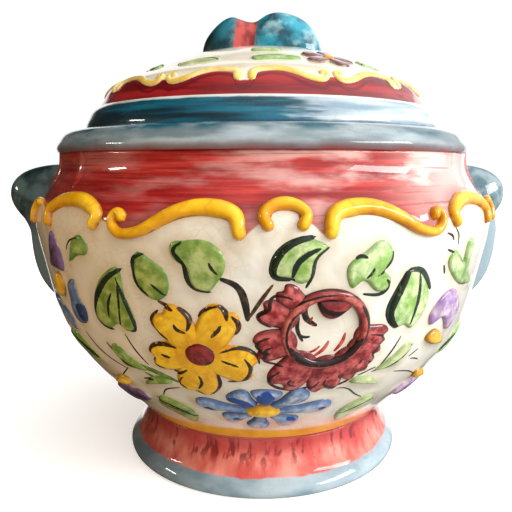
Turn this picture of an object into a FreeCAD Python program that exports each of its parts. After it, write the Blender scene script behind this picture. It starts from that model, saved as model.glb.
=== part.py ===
import FreeCAD, Part
import math
import os

# Covered pot of glazed earthenware, with a foot, two lugs and a lifting lid.
# Units are millimetres. The origin is on the bench under the pot's centre, +Z is up,
# +X runs out through the right-hand lug and -Y is the front.

# ---------------------------------------------------------------- driving dimensions
# Bowl, thrown as one shell
BASE_HEIGHT = 24.0        # bench to the joint between foot and bowl
BASE_RADIUS = 63.0        # outside of the bowl at that joint
BELLY_HEIGHT = 118.0      # bench to the widest part
BELLY_RADIUS = 111.4
NECK_HEIGHT = 150.0       # bench to the top of the neck
NECK_RADIUS = 99.6
BOWL_WALL = 6.0
FLOOR_THICKNESS = 6.5
# Foot
FOOT_RADIUS = 71.3
FOOT_WAIST_RADIUS = 62.3
FOOT_RING_WIDTH = 8.0     # flat ring that the pot stands on
FOOT_SOCKET_RADIUS = 55.5
# Collar that carries the lid
COLLAR_OVERHANG = 1.2
COLLAR_HEIGHT = 10.0
SEAT_DEPTH = 3.0          # collar top down to the ledge
LEDGE_WIDTH = 8.5
LEDGE_THICKNESS = 4.5
# Lid
LID_RADIUS = 87.0
LID_CLEARANCE = 1.5       # lid edge to the seat's wall, all round
SEAT_GAP = 0.2            # height left between the two unglazed seat faces
LID_STEP_HEIGHT = 13.8
LID_STEP_INSET = 6.0
DOME_HEIGHT = 30.7
LID_WALL = 5.5
RING_CLEARANCE = 1.5      # locating ring to the ledge's inner edge
RING_WIDTH = 4.5
RING_DEPTH = 8.0
# Knob and lugs
KNOB_WIDTH = 61.0
KNOB_DEPTH = 24.0
KNOB_HEIGHT = 22.7        # top of the higher lobe above the root line
KNOB_ROOT = 4.5           # root line, below the crown's top
LUG_REACH = 16.9          # lug's outermost point, measured out from the belly
LUG_TOP = 143.4           # bench to the top of the lug
LUG_LENGTH = 76.0
LUG_WIDTH = 28.0
# Applied relief
PANEL_TURN = 1.0          # degrees that the front panel sits off square with the lugs
LEAF_RELIEF = 1.6
PETAL_RELIEF = 2.0
RING_RELIEF = 2.6
EYE_RELIEF = 3.0
SCROLL_RELIEF = 3.2
RIB_RELIEF = 1.4
LID_LEAF_RELIEF = 1.0
LID_PETAL_RELIEF = 1.3
LID_SCROLL_RELIEF = 2.2
LID_REPEATS = 3           # leaf and flower groups round the dome
LID_SCROLL_PAIRS = 7
LID_SCROLL_SCALE = 0.62   # lid scrolls against the long scroll on the pot
RIB_AZIMUTHS = (50.0, 68.0)
RIB_SIZE = (5.0, 15.5)
RELIEF_JOINT = 0.3        # space left between an eye and the petals round it
MOTIF_REACH = 9.0         # depth cut each side of the flat that a motif is drawn on
FLOWER_REACH = 12.0       # the same for the wide flowers, which the wall curves away from
LID_REACH = 5.0           # the same on the lid, whose motifs are smaller
# The relief moulds were cut for a pot of this girth and wall, and follow it in size
MOULD_BELLY_RADIUS = 111.4
MOULD_WALL_LENGTH = 146.0
MOULD_LID_RADIUS = 87.0

# Shares of the rise and of the widening from one named level to the next
LOWER_SWEEP = ((0.0, 0.0), (0.196, 0.106), (0.496, 0.277), (0.744, 0.468), (0.874, 0.66), (0.959, 0.862))
UPPER_SWEEP = ((0.0, 0.0), (0.068, 0.219), (0.331, 0.406), (0.669, 0.578), (0.924, 0.734), (1.017, 0.875))
STEP_SWEEP = ((0.0, 0.0), (-0.03, 0.2), (0.0, 0.35), (0.1, 0.49), (0.27, 0.64), (0.5, 0.82), (1.0, 1.0))
DOME_SWEEP = ((0.0, 0.0), (0.035, 0.13), (0.057, 0.228), (0.119, 0.358), (0.23, 0.489), (0.34, 0.619),
              (0.451, 0.745), (0.56, 0.845), (0.69, 0.925), (0.84, 0.98), (1.0, 1.0))

UP = FreeCAD.Vector(0, 0, 1)
CENTRE = FreeCAD.Vector(0, 0, 0)


# ---------------------------------------------------------------- levels worked out from them
collar_top = NECK_HEIGHT + COLLAR_HEIGHT
ledge_height = collar_top - SEAT_DEPTH
lid_base = ledge_height + SEAT_GAP
seat_radius = LID_RADIUS + LID_CLEARANCE
ledge_inner_radius = seat_radius - LEDGE_WIDTH
ring_radius = ledge_inner_radius - RING_CLEARANCE
lid_bore_radius = ring_radius - RING_WIDTH
dome_base = lid_base + LID_STEP_HEIGHT
dome_radius = LID_RADIUS - LID_STEP_INSET
crown_height = dome_base + DOME_HEIGHT


# ---------------------------------------------------------------- profiles and turned solids
def at(radius, height):
    """A point of a turned profile."""
    return FreeCAD.Vector(radius, 0, height)


def sweep_points(shares, start, end):
    """Points between two named (radius, height) corners, by their shares of the way."""
    return [at(start[0] + share[0] * (end[0] - start[0]), start[1] + share[1] * (end[1] - start[1]))
            for share in shares]


def smooth(points):
    curve = Part.BSplineCurve()
    curve.interpolate(points)
    return curve


def bowl_curve():
    """Outside of the bowl, from the foot joint up to the neck."""
    points = sweep_points(LOWER_SWEEP, (BASE_RADIUS, BASE_HEIGHT), (BELLY_RADIUS, BELLY_HEIGHT))
    points += sweep_points(UPPER_SWEEP, (BELLY_RADIUS, BELLY_HEIGHT), (NECK_RADIUS, NECK_HEIGHT))
    points.append(at(NECK_RADIUS, NECK_HEIGHT))
    return smooth(points)


def dome_curve():
    """Outside of the lid's dome, from its shoulder to the crown."""
    return smooth(sweep_points(DOME_SWEEP, (dome_radius, dome_base), (0.0, crown_height)))


def moved_out(curve, distance, first=0.0, last=1.0, steps=28):
    """Points beside a profile, pushed out from it by a distance, from one share of its length to another."""
    points = []
    for index in range(steps + 1):
        share = first + (last - first) * index / steps
        parameter = curve.parameterAtDistance(curve.length() * share)
        spot = curve.value(parameter)
        along = curve.tangent(parameter)[0]
        points.append(spot + FreeCAD.Vector(along.z, 0, -along.x) * distance)
    return points


def straight_run(points):
    return [Part.LineSegment(start, end).toShape() for start, end in zip(points, points[1:])]


def turned(edges):
    """Solid made by turning a closed profile about the pot's axis."""
    face = Part.Face(Part.Wire(edges))
    return face.revolve(CENTRE, UP, 360)


def relief_shell(curve, relief, first, last):
    """Skin of even thickness that lies on a turned surface."""
    low = curve.parameterAtDistance(curve.length() * first)
    high = curve.parameterAtDistance(curve.length() * last)
    inner = curve.toShape(low, high)
    outer_points = moved_out(curve, relief, first, last)
    outer = smooth(outer_points).toShape()
    foot_line = straight_run([curve.value(low), outer_points[0]])
    top_line = straight_run([outer_points[-1], curve.value(high)])
    return turned(Part.__sortEdges__([inner, outer] + foot_line + top_line))


# ---------------------------------------------------------------- bowl, foot, collar
def make_bowl_wall():
    outside = bowl_curve()
    floor_top = BASE_HEIGHT + FLOOR_THICKNESS
    inside = [spot for spot in moved_out(outside, -BOWL_WALL) if spot.z > floor_top + BOWL_WALL / 2]
    inside[-1] = at(NECK_RADIUS - BOWL_WALL, NECK_HEIGHT)
    floor_edge = at(inside[0].x - BOWL_WALL, floor_top)
    bottom = straight_run([at(0, floor_top), at(0, BASE_HEIGHT), at(BASE_RADIUS, BASE_HEIGHT)])
    rim = straight_run([at(NECK_RADIUS, NECK_HEIGHT), inside[-1]])
    floor = straight_run([inside[0], floor_edge, at(0, floor_top)])
    return turned(bottom + [outside.toShape()] + rim + [smooth(inside).toShape()] + floor)


def make_foot_ring():
    waist = BASE_HEIGHT * 0.87
    outside = smooth([
        at(FOOT_RADIUS - 0.6, 0),
        at(FOOT_RADIUS, 2),
        at(FOOT_RADIUS - 1.3, 5),
        at(FOOT_RADIUS - 4.6, 8.5),
        at(FOOT_WAIST_RADIUS + 2.2, BASE_HEIGHT * 0.54),
        at(FOOT_WAIST_RADIUS, waist),
        at(BASE_RADIUS, BASE_HEIGHT)])
    inner_edge = FOOT_RADIUS - 0.6 - FOOT_RING_WIDTH
    inside = smooth([
        at(FOOT_SOCKET_RADIUS, BASE_HEIGHT),
        at(FOOT_SOCKET_RADIUS, BASE_HEIGHT * 0.6),
        at((FOOT_SOCKET_RADIUS + inner_edge) / 2, BASE_HEIGHT * 0.2),
        at(inner_edge, 0)])
    top = straight_run([at(BASE_RADIUS, BASE_HEIGHT), at(FOOT_SOCKET_RADIUS, BASE_HEIGHT)])
    bottom = straight_run([at(inner_edge, 0), at(FOOT_RADIUS - 0.6, 0)])
    return turned([outside.toShape()] + top + [inside.toShape()] + bottom)


def make_rim_collar():
    outer_radius = NECK_RADIUS + COLLAR_OVERHANG
    land = (outer_radius - seat_radius) * 0.35
    outside = smooth([
        at(outer_radius - 0.6, NECK_HEIGHT),
        at(outer_radius, NECK_HEIGHT + COLLAR_HEIGHT * 0.2),
        at(outer_radius - COLLAR_HEIGHT * 0.14, NECK_HEIGHT + COLLAR_HEIGHT * 0.52),
        at(outer_radius - COLLAR_HEIGHT * 0.38, NECK_HEIGHT + COLLAR_HEIGHT * 0.84),
        at(seat_radius + land, collar_top)])
    seat = straight_run([
        at(seat_radius + land, collar_top),
        at(seat_radius + 0.8, collar_top),
        at(seat_radius, collar_top - 0.8),
        at(seat_radius, ledge_height),
        at(ledge_inner_radius, ledge_height),
        at(ledge_inner_radius, ledge_height - LEDGE_THICKNESS),
        at(NECK_RADIUS - BOWL_WALL, NECK_HEIGHT),
        at(outer_radius - 0.6, NECK_HEIGHT)])
    return turned([outside.toShape()] + seat)


# ---------------------------------------------------------------- lid
def make_lid_shell():
    step = smooth(sweep_points(STEP_SWEEP, (LID_RADIUS, lid_base), (dome_radius, dome_base)))
    dome = dome_curve()
    inside = moved_out(dome, -LID_WALL, 0.08)
    inside[-1] = at(0, crown_height - LID_WALL)
    ceiling = smooth(inside).toShape()
    crown = straight_run([at(0, crown_height), inside[-1]])
    base = straight_run([inside[0], at(lid_bore_radius, lid_base), at(LID_RADIUS, lid_base)])
    return turned([step.toShape(), dome.toShape()] + crown + [ceiling] + base)


def make_lid_locating_ring():
    chamfer = RING_WIDTH / 3
    low = lid_base - RING_DEPTH
    corners = [at(lid_bore_radius, lid_base), at(lid_bore_radius, low), at(ring_radius - chamfer, low),
               at(ring_radius, low + chamfer), at(ring_radius, lid_base), at(lid_bore_radius, lid_base)]
    return turned(straight_run(corners))


def closed_face(points):
    """Flat face inside one smooth closed line."""
    curve = Part.BSplineCurve()
    curve.interpolate(Points=points, PeriodicFlag=True)
    return Part.Face(Part.Wire(curve.toShape()))


def filled_lid():
    """The lid's outside without its hollow, to cut the knob's root to the dome."""
    dome = dome_curve()
    sides = straight_run([at(0, crown_height), at(0, lid_base), at(dome_radius, lid_base),
                          at(dome_radius, dome_base)])
    return turned([dome.toShape()] + sides)


def make_lid_knob():
    """Bow-shaped knob: a front outline crossed with a plan outline, seated on the dome."""
    root = crown_height - KNOB_ROOT
    front = ((-1.0, -0.25), (-0.97, 0.2), (-0.92, 0.4), (-0.82, 0.59), (-0.69, 0.76), (-0.48, 0.89),
             (-0.3, 0.84), (-0.17, 0.81), (-0.07, 0.84), (0.04, 0.93), (0.21, 1.0), (0.43, 0.97),
             (0.7, 0.81), (0.84, 0.6), (0.96, 0.31), (1.0, -0.25))
    front_points = [FreeCAD.Vector(x * KNOB_WIDTH / 2, -KNOB_DEPTH, root + z * KNOB_HEIGHT) for x, z in front]
    front_edges = [smooth(front_points).toShape()] + straight_run([front_points[-1], front_points[0]])
    plan = ((-1.0, 0.0), (-0.85, 0.66), (-0.5, 1.0), (-0.18, 0.8), (0.2, 1.0), (0.68, 0.94), (0.97, 0.45))
    plan_points = [(x, y) for x, y in plan] + [(1.0, 0.0)] + [(x, -y) for x, y in reversed(plan[1:])]
    plan_half_width = KNOB_WIDTH * 0.53
    plan_ring = [FreeCAD.Vector(x * plan_half_width, y * KNOB_DEPTH / 2, lid_base) for x, y in plan_points]
    side_to_side = Part.Face(Part.Wire(front_edges)).extrude(FreeCAD.Vector(0, 2 * KNOB_DEPTH, 0))
    upright = closed_face(plan_ring).extrude(UP * (crown_height - lid_base + 2 * KNOB_HEIGHT))
    return side_to_side.common(upright).cut(filled_lid())


# ---------------------------------------------------------------- lugs
def filled_bowl():
    """The bowl's outside without its hollow, to cut the lugs to the wall."""
    sides = straight_run([at(NECK_RADIUS, NECK_HEIGHT), at(0, NECK_HEIGHT), at(0, BASE_HEIGHT),
                          at(BASE_RADIUS, BASE_HEIGHT)])
    return turned([bowl_curve().toShape()] + sides)


def make_lug(side):
    """Scroll-ended lug: a rolled top that tapers to a tail down the wall."""
    reach = BELLY_RADIUS + LUG_REACH
    profile = ((-32.0, 0.01), (-15.3, 0.0), (-7.5, 0.042), (-3.6, 0.083), (0.0, 0.165), (-1.7, 0.25),
               (-5.6, 0.33), (-6.2, 0.5), (-7.8, 0.67), (-12.0, 0.82), (-22.0, 0.97), (-36.0, 0.9),
               (-36.0, 0.4))
    width = ((0.0, 0.72), (0.08, 0.97), (0.18, 1.0), (0.28, 0.8), (0.36, 0.57), (0.6, 0.5), (0.85, 0.38))
    across = [(half, level) for level, half in width]
    across += [(-half, level) for level, half in reversed(width)]
    side_points = [FreeCAD.Vector(side * (reach + out), -LUG_WIDTH, LUG_TOP - level * LUG_LENGTH)
                   for out, level in profile]
    end_points = [FreeCAD.Vector(0, half * LUG_WIDTH / 2, LUG_TOP + 0.6 - level * LUG_LENGTH * 1.14)
                  for half, level in across]
    roll = closed_face(side_points).extrude(FreeCAD.Vector(0, 2 * LUG_WIDTH, 0))
    taper = closed_face(end_points).extrude(FreeCAD.Vector(side * (reach + LUG_REACH), 0, 0))
    return roll.common(taper).cut(filled_bowl())


# ---------------------------------------------------------------- relief: where it lies and how it is cut
def spot_on(curve, azimuth, distance):
    """Frame at an azimuth round the pot and a distance along a profile: origin, across, up the wall, out."""
    parameter = curve.parameterAtDistance(distance)
    place = curve.value(parameter)
    along = curve.tangent(parameter)[0]
    turn = math.radians(azimuth)
    radial = FreeCAD.Vector(math.sin(turn), -math.cos(turn), 0)
    across = FreeCAD.Vector(math.cos(turn), math.sin(turn), 0)
    origin = radial * place.x + UP * place.z
    return origin, across, radial * along.x + UP * along.z, radial * along.z - UP * along.x


def pressed(frame, outline, scale, reach):
    """Prism through the wall with a closed smooth outline, drawn flat at the frame."""
    origin, across, upward, out = frame
    depth = out * (reach * scale)
    points = [origin + across * (a * scale) + upward * (b * scale) - depth for a, b in outline]
    return closed_face(points).extrude(depth * 2)


def oval(width, height, centre=(0.0, 0.0), points=12):
    return [(centre[0] + width / 2 * math.cos(2 * math.pi * index / points),
             centre[1] + height / 2 * math.sin(2 * math.pi * index / points)) for index in range(points)]


def petal(start, reach, width, heading, notch=0.0):
    """Petal from one radius to another about a flower's centre, pointing to a heading in degrees."""
    half = ((0.0, 0.5), (0.4, 0.9), (0.72, 1.0), (0.94, 0.66))
    shares = [(along, -side) for along, side in half] + [(1.0 - notch, 0.0)]
    shares += [(along, side) for along, side in reversed(half)]
    turn = math.radians(heading)
    outline = []
    for along, side in shares:
        a = start + along * (reach - start)
        b = side * width / 2
        outline.append((a * math.cos(turn) - b * math.sin(turn), a * math.sin(turn) + b * math.cos(turn)))
    return outline


def leaf(length, width, heading):
    """Pointed leaf about its own centre."""
    return petal(-length / 2, length / 2, width, heading)


def mirrored(outline):
    return [(-a, b) for a, b in outline]


def band(path, widths):
    """Closed outline of a band laid along a path, with rounded ends; widths are half widths."""
    left = []
    right = []
    for index, (a, b) in enumerate(path):
        before = path[max(index - 1, 0)]
        after = path[min(index + 1, len(path) - 1)]
        run = math.hypot(after[0] - before[0], after[1] - before[1])
        side = (-(after[1] - before[1]) / run * widths[index], (after[0] - before[0]) / run * widths[index])
        left.append((a + side[0], b + side[1]))
        right.append((a - side[0], b - side[1]))
    return left + [end_cap(path[-2], path[-1], widths[-1])] + right[::-1] + [
        end_cap(path[1], path[0], widths[0])]


def end_cap(before, end, half_width):
    run = math.hypot(end[0] - before[0], end[1] - before[1])
    return (end[0] + (end[0] - before[0]) / run * half_width, end[1] + (end[1] - before[1]) / run * half_width)


# ---------------------------------------------------------------- relief: drawings of the motifs
LONG_SCROLL = (((-20.4, 2.4), (-24.2, 0.4), (-22.6, -3.8), (-17.4, -5.0), (-11.6, -3.9), (-6.0, -1.2), (0.0, 2.0),
                (7.7, 4.4), (15.4, 4.4), (21.6, 1.8), (23.2, -3.2)),
               (2.2, 1.9, 2.0, 2.1, 2.3, 2.5, 2.9, 3.3, 3.4, 2.9, 2.4))
CORNER_SCROLL = (((-17.6, -6.0), (-18.2, -2.8), (-13.5, 0.9), (-3.9, 2.9), (4.8, 2.5), (11.6, 0.2), (15.6, -3.0),
                  (14.6, -5.4)), (2.2, 2.4, 2.9, 3.3, 3.3, 2.9, 2.5, 2.3))
CENTRE_SCROLL = (((-6.0, -4.0), (-7.2, -1.3), (-4.8, 2.0), (0.0, 3.4), (4.8, 2.0), (7.2, -1.3), (6.0, -4.0)),
                 (2.2, 2.1, 2.3, 2.6, 2.3, 2.1, 2.2))
HOOK_SCROLL = (((-2.6, -5.0), (-3.6, -1.0), (-0.6, 2.8), (3.4, 2.6)), (1.8, 1.9, 1.9, 1.7))

HEART_LEFT = ((7.2, 13.2), (0.5, 10.8), (-5.5, 5.2), (-9.4, -1.6), (-10.2, -7.8), (-6.6, -12.4), (-2.0, -12.6),
              (1.5, -10.4), (5.4, -12.8), (9.8, -11.2), (9.8, -3.2), (8.0, 5.0))
HEART_RIGHT = ((-4.4, 12.2), (0.4, 11.8), (4.8, 8.0), (8.4, 3.0), (9.0, -4.0), (5.8, -10.0), (2.0, -12.6),
               (-1.0, -10.6), (-4.8, -11.4), (-8.8, -8.4), (-9.8, -0.4), (-7.4, 6.4))
HEART_TOP = ((-9.0, 7.6), (-5.0, 8.4), (1.0, 9.0), (6.6, 7.0), (9.6, 2.6), (9.2, -2.2), (6.4, -6.6), (2.8, -10.0),
             (-1.2, -9.2), (-3.2, -5.6), (-4.4, -1.2), (-7.6, 1.0), (-9.8, 4.0))
CURLED_TOP = ((-8.7, -2.2), (-7.0, 2.6), (-3.0, 6.6), (3.0, 8.8), (7.4, 7.0), (10.6, 5.0), (8.0, 1.8),
              (6.6, -1.6), (5.6, -5.8), (2.6, -8.0), (-1.0, -7.0), (-3.4, -5.8), (-7.2, -5.8))
SLANTED_LEFT = ((-4.2, 9.2), (1.4, 7.0), (6.0, 3.6), (7.4, -1.0), (6.2, -6.0), (2.0, -8.8), (-2.6, -7.2),
                (-6.4, -3.0), (-7.0, 1.6), (-5.4, 5.2))
TREFOIL = ((-1.4, 7.6), (2.6, 10.0), (7.0, 8.2), (8.0, 3.0), (6.0, -1.4), (9.0, -4.2), (8.2, -8.2), (4.0, -9.2),
           (0.2, -6.2), (-3.0, -4.6), (-5.8, -7.2), (-8.8, -3.0), (-8.4, 2.4), (-5.4, 4.8))
SMALL_LEFT = ((-7.4, -6.6), (-5.8, -3.0), (-3.9, 1.0), (0.0, 4.6), (4.8, 4.0), (7.0, 0.0), (4.6, -2.6), (-1.0, -3.6))
FORKED_RIGHT = ((-13.0, 3.6), (-9.6, 6.4), (-5.0, 3.0), (-1.2, 0.6), (0.2, 9.4), (3.6, 10.2), (5.0, 1.0),
                (9.4, -6.0), (14.6, -10.0), (6.0, -10.4), (-2.0, -8.0), (-8.0, -4.0))
SLENDER_UPPER = ((-7.6, 4.8), (-5.2, 6.2), (0.9, 1.6), (6.0, -2.6), (7.4, -5.0), (2.5, -5.0), (-2.7, -4.5),
                 (-5.6, -0.5))
SLENDER_LOWER = ((-7.6, -3.6), (-3.5, -2.8), (2.8, -0.8), (7.4, 1.2), (5.8, 3.1), (-0.5, 3.3), (-4.0, 0.8))
LOW_LEAF = ((-3.6, 8.6), (1.6, 7.0), (6.6, 2.4), (8.0, -3.0), (6.6, -8.6), (4.6, -11.4), (0.0, -8.0),
            (-5.0, -3.6), (-8.0, 1.0), (-7.0, 5.6))
SIDE_LEAF = ((-12.4, 4.4), (-8.0, 6.8), (0.0, 4.0), (6.0, -1.0), (9.4, -5.4), (3.0, -5.4), (-5.0, -2.2),
             (-10.0, 1.0))
VIOLET_LEFT = ((0.2, 8.6), (4.4, 3.6), (6.0, -3.2), (4.4, -7.6), (-1.6, -7.8), (-8.2, -6.8), (-5.6, -1.8),
               (-3.0, 3.6))
VIOLET_RIGHT = ((-12.0, -2.0), (-9.6, 4.0), (-4.0, 8.2), (2.6, 8.6), (8.2, 4.0), (11.8, -2.0), (9.0, -8.0),
                (5.0, -10.4), (0.4, -5.6), (-5.0, -3.0), (-9.8, -5.4))
VIOLET_BASE_RIGHT = ((-8.0, 0.0), (-4.0, 3.0), (1.0, 1.6), (5.4, -2.4), (7.0, -5.0), (1.6, -5.0), (-4.4, -3.4))
BLUE_UPPER = ((-2.8, 8.0), (3.0, 9.0), (2.6, 4.0), (5.2, -1.0), (5.8, -5.4), (2.4, -9.8), (-2.4, -9.6),
              (-5.0, -4.4), (-3.8, 2.0))
BLUE_LOWER = ((-9.0, 6.0), (-5.0, 5.0), (2.0, 0.0), (7.4, -5.4), (6.4, -8.4), (1.0, -5.0), (-5.0, 0.4))
LOW_VIOLET = ((-10.0, 2.0), (-4.0, 4.6), (4.0, 5.6), (9.0, 4.0), (11.4, 0.0), (8.0, -4.0), (0.0, -6.4),
              (-7.0, -6.0), (-10.4, -2.0))
LOW_VIOLET_BASE = ((-6.4, -1.4), (-3.0, 1.4), (1.0, 3.4), (5.4, 2.2), (5.6, -0.2), (1.0, -1.8))

# Where single motifs lie on the front: azimuth from the panel's centre, millimetres up the wall, drawings
LEAVES = {
    "leaf_heart_left": [(-36.0, 85.8, HEART_LEFT)],
    "leaf_heart_right": [(27.0, 85.8, HEART_RIGHT)],
    "leaf_heart_top": [(-15.5, 101.8, HEART_TOP)],
    "leaf_curled_top": [(2.0, 103.3, CURLED_TOP)],
    "leaf_slanted_left": [(-25.2, 96.3, SLANTED_LEFT)],
    "leaf_trefoil": [(16.0, 99.8, TREFOIL)],
    "leaf_small_left": [(-43.0, 104.8, SMALL_LEFT)],
    "leaf_forked_right": [(43.0, 96.8, FORKED_RIGHT)],
    "leaf_slender_left": [(-35.5, 59.3, SLENDER_UPPER), (-29.7, 48.6, SLENDER_LOWER)],
    "leaf_slender_right": [(26.5, 60.3, mirrored(SLENDER_UPPER)), (20.7, 49.6, mirrored(SLENDER_LOWER))],
    "leaf_low_left": [(-29.3, 28.8, LOW_LEAF)],
    "leaf_low_right": [(24.0, 28.8, mirrored(LOW_LEAF))],
    "leaf_side_left": [(-53.0, 57.8, SIDE_LEAF)],
    "leaf_side_right": [(53.0, 57.8, mirrored(SIDE_LEAF))],
}
BUDS = {
    "bud_violet_left": [(-53.0, 101.2, VIOLET_LEFT)],
    "bud_violet_right": [(40.5, 77.6, VIOLET_RIGHT)],
    "bud_blue_left": [(-48.4, 81.3, BLUE_UPPER), (-56.4, 74.6, BLUE_LOWER)],
    "bud_low_left": [(-45.0, 32.6, LOW_VIOLET)],
    "bud_low_right": [(45.0, 32.6, mirrored(LOW_VIOLET))],
}
BUD_BASES = {
    "bud_base_left": [(-54.6, 86.6, oval(7.6, 11.0))],
    "bud_base_right": [(39.4, 66.6, VIOLET_BASE_RIGHT)],
    "bud_low_base_left": [(-43.4, 43.0, LOW_VIOLET_BASE)],
    "bud_low_base_right": [(43.4, 43.0, mirrored(LOW_VIOLET_BASE))],
}
SCROLLS = {
    "scroll_centre": [(0.0, 119.8, band(*CENTRE_SCROLL))],
    "scroll_long_left": [(-20.0, 117.3, band(*LONG_SCROLL))],
    "scroll_long_right": [(20.0, 117.3, mirrored(band(*LONG_SCROLL)))],
    "scroll_corner_left": [(-45.0, 120.3, band(*CORNER_SCROLL))],
    "scroll_corner_right": [(45.0, 120.3, mirrored(band(*CORNER_SCROLL)))],
    "scroll_hooks": [(-66.0, 117.3, band(*HOOK_SCROLL)), (66.0, 117.3, mirrored(band(*HOOK_SCROLL)))],
}
# Flower petals: reach, width, heading in degrees
YELLOW_PETALS = ((22.0, 14.0, 130.0), (22.0, 13.0, 59.0), (20.4, 15.6, -20.0), (22.0, 17.0, -103.0),
                 (21.5, 12.0, 193.0))
BLUE_PETALS = ((14.5, 10.0, 84.0), (16.5, 9.0, 136.0), (27.0, 7.5, 178.0), (18.0, 8.0, 211.0),
               (17.0, 8.0, 262.0), (17.5, 9.0, 314.0), (27.5, 8.0, 357.0), (20.5, 8.5, 34.0))
ROSE_RUFFLES = ((23.5, 8.0, 138.0), (25.5, 9.0, 160.0), (26.2, 13.0, -163.0), (31.0, 14.0, -118.0),
                (31.0, 13.0, -80.0), (26.5, 12.0, -50.0), (23.0, 8.0, -16.0))
YELLOW_FLOWER_AT = (-16.5, 67.1)
YELLOW_EYE = (12.4, 11.0)
ROSE_AT = (8.4, 76.8)
ROSE_OUTER = (33.4, 32.6)
ROSE_INNER = (25.0, 24.4)
ROSE_BUD = (12.0, 7.0, (2.0, 7.0))
BLUE_FLOWER_AT = (-3.8, 34.6)
BLUE_EYE = (14.7, 8.5)
LID_LEAVES = ((2.0, 30.0, leaf(20.0, 7.0, 4.0)), (-1.5, 43.0, leaf(13.0, 5.0, 0.0)),
              (-31.0, 30.0, leaf(19.0, 6.5, 14.0)), (-64.0, 31.0, leaf(20.0, 7.0, -8.0)))
LID_FLOWER_AT = (25.0, 31.0)
LID_FLOWER_PETALS = ((12.5, 7.4, 0.0), (11.0, 7.0, 70.0), (11.5, 7.4, 140.0), (12.5, 7.4, 205.0), (11.0, 7.0, 285.0))
LID_EYE = (6.0, 5.0)


# ---------------------------------------------------------------- relief: the pot
class Relief:
    """Cuts motifs from a skin on one turned surface."""

    def __init__(self, curve, scale, length_scale, stretch, reaches):
        self.curve = curve
        self.scale = scale
        self.length_scale = length_scale
        self.stretch = stretch
        self.motif_reach, self.flower_reach = reaches
        self.skins = {}

    def skin(self, relief):
        if relief not in self.skins:
            self.skins[relief] = relief_shell(self.curve, relief, *self.stretch)
        return self.skins[relief]

    def frame(self, azimuth, distance):
        return spot_on(self.curve, azimuth + PANEL_TURN, distance * self.length_scale)

    def motif(self, places, relief):
        """One node's solids, from (azimuth, distance, drawing) places."""
        solids = []
        for azimuth, distance, outline in places:
            prism = pressed(self.frame(azimuth, distance), outline, self.scale, self.motif_reach)
            solids += prism.common(self.skin(relief)).Solids
        return Part.makeCompound(solids)

    def flower(self, place, petals, start, hole, relief, notch=0.0):
        """Petals round an opening that is left for the eye or the ring."""
        frame = self.frame(*place)
        prisms = [pressed(frame, petal(start, reach, width, heading, notch), self.scale, self.flower_reach)
                  for reach, width, heading in petals]
        corolla = prisms[0].multiFuse(prisms[1:])
        hole_outline = oval(hole[0] + 2 * RELIEF_JOINT, hole[1] + 2 * RELIEF_JOINT)
        opening = pressed(frame, hole_outline, self.scale, self.flower_reach + 1.0)
        return Part.makeCompound(corolla.cut(opening).common(self.skin(relief)).Solids)


def pot_relief():
    outside = bowl_curve()
    girth = BELLY_RADIUS / MOULD_BELLY_RADIUS
    rise = outside.length() / MOULD_WALL_LENGTH
    return Relief(outside, min(girth, rise), rise, (0.02, 0.995), (MOTIF_REACH, FLOWER_REACH))


def make_rose_ring(relief):
    frame = relief.frame(*ROSE_AT)
    disc = pressed(frame, oval(*ROSE_OUTER), relief.scale, relief.motif_reach)
    opening = pressed(frame, oval(*ROSE_INNER), relief.scale, relief.motif_reach + 1.0)
    return Part.makeCompound(disc.cut(opening).common(relief.skin(RING_RELIEF)).Solids)


def make_front_relief(relief):
    """Every raised motif of the front panel, by node name."""
    nodes = {}
    for name, places in LEAVES.items():
        nodes[name] = relief.motif(places, LEAF_RELIEF)
    for name, places in BUDS.items():
        nodes[name] = relief.motif(places, PETAL_RELIEF)
    for name, places in BUD_BASES.items():
        nodes[name] = relief.motif(places, RING_RELIEF)
    for name, places in SCROLLS.items():
        nodes[name] = relief.motif(places, SCROLL_RELIEF)
    nodes["yellow_flower_petals"] = relief.flower(YELLOW_FLOWER_AT, YELLOW_PETALS, 3.0, YELLOW_EYE,
                                                  PETAL_RELIEF, 0.06)
    nodes["yellow_flower_eye"] = relief.motif([YELLOW_FLOWER_AT + (oval(*YELLOW_EYE),)], EYE_RELIEF)
    nodes["rose_ring"] = make_rose_ring(relief)
    nodes["rose_ruffles"] = relief.flower(ROSE_AT, ROSE_RUFFLES, 12.0, ROSE_OUTER, PETAL_RELIEF)
    nodes["rose_bud"] = relief.motif([ROSE_AT + (oval(*ROSE_BUD),)], PETAL_RELIEF)
    nodes["blue_flower_petals"] = relief.flower(BLUE_FLOWER_AT, BLUE_PETALS, 4.5, BLUE_EYE, PETAL_RELIEF)
    nodes["blue_flower_eye"] = relief.motif([BLUE_FLOWER_AT + (oval(*BLUE_EYE),)], EYE_RELIEF)
    return nodes


# Nodes on the back, and the front motifs that each one repeats half a turn round
BACK_GROUPS = {
    "back_scrolls": list(SCROLLS),
    "back_leaves": list(LEAVES),
    "back_buds": list(BUDS),
    "back_bud_bases": list(BUD_BASES),
    "back_yellow_petals": ["yellow_flower_petals"],
    "back_blue_petals": ["blue_flower_petals"],
    "back_rose_ring": ["rose_ring"],
    "back_rose_ruffles": ["rose_ruffles"],
    "back_flower_eyes": ["yellow_flower_eye", "blue_flower_eye", "rose_bud"],
}


def half_turn(shape):
    turned_shape = shape.copy()
    turned_shape.rotate(CENTRE, UP, 180)
    return turned_shape


def make_back_relief(front):
    nodes = {}
    for name, members in BACK_GROUPS.items():
        solids = [solid for member in members for solid in half_turn(front[member]).Solids]
        nodes[name] = Part.makeCompound(solids)
    return nodes


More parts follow.
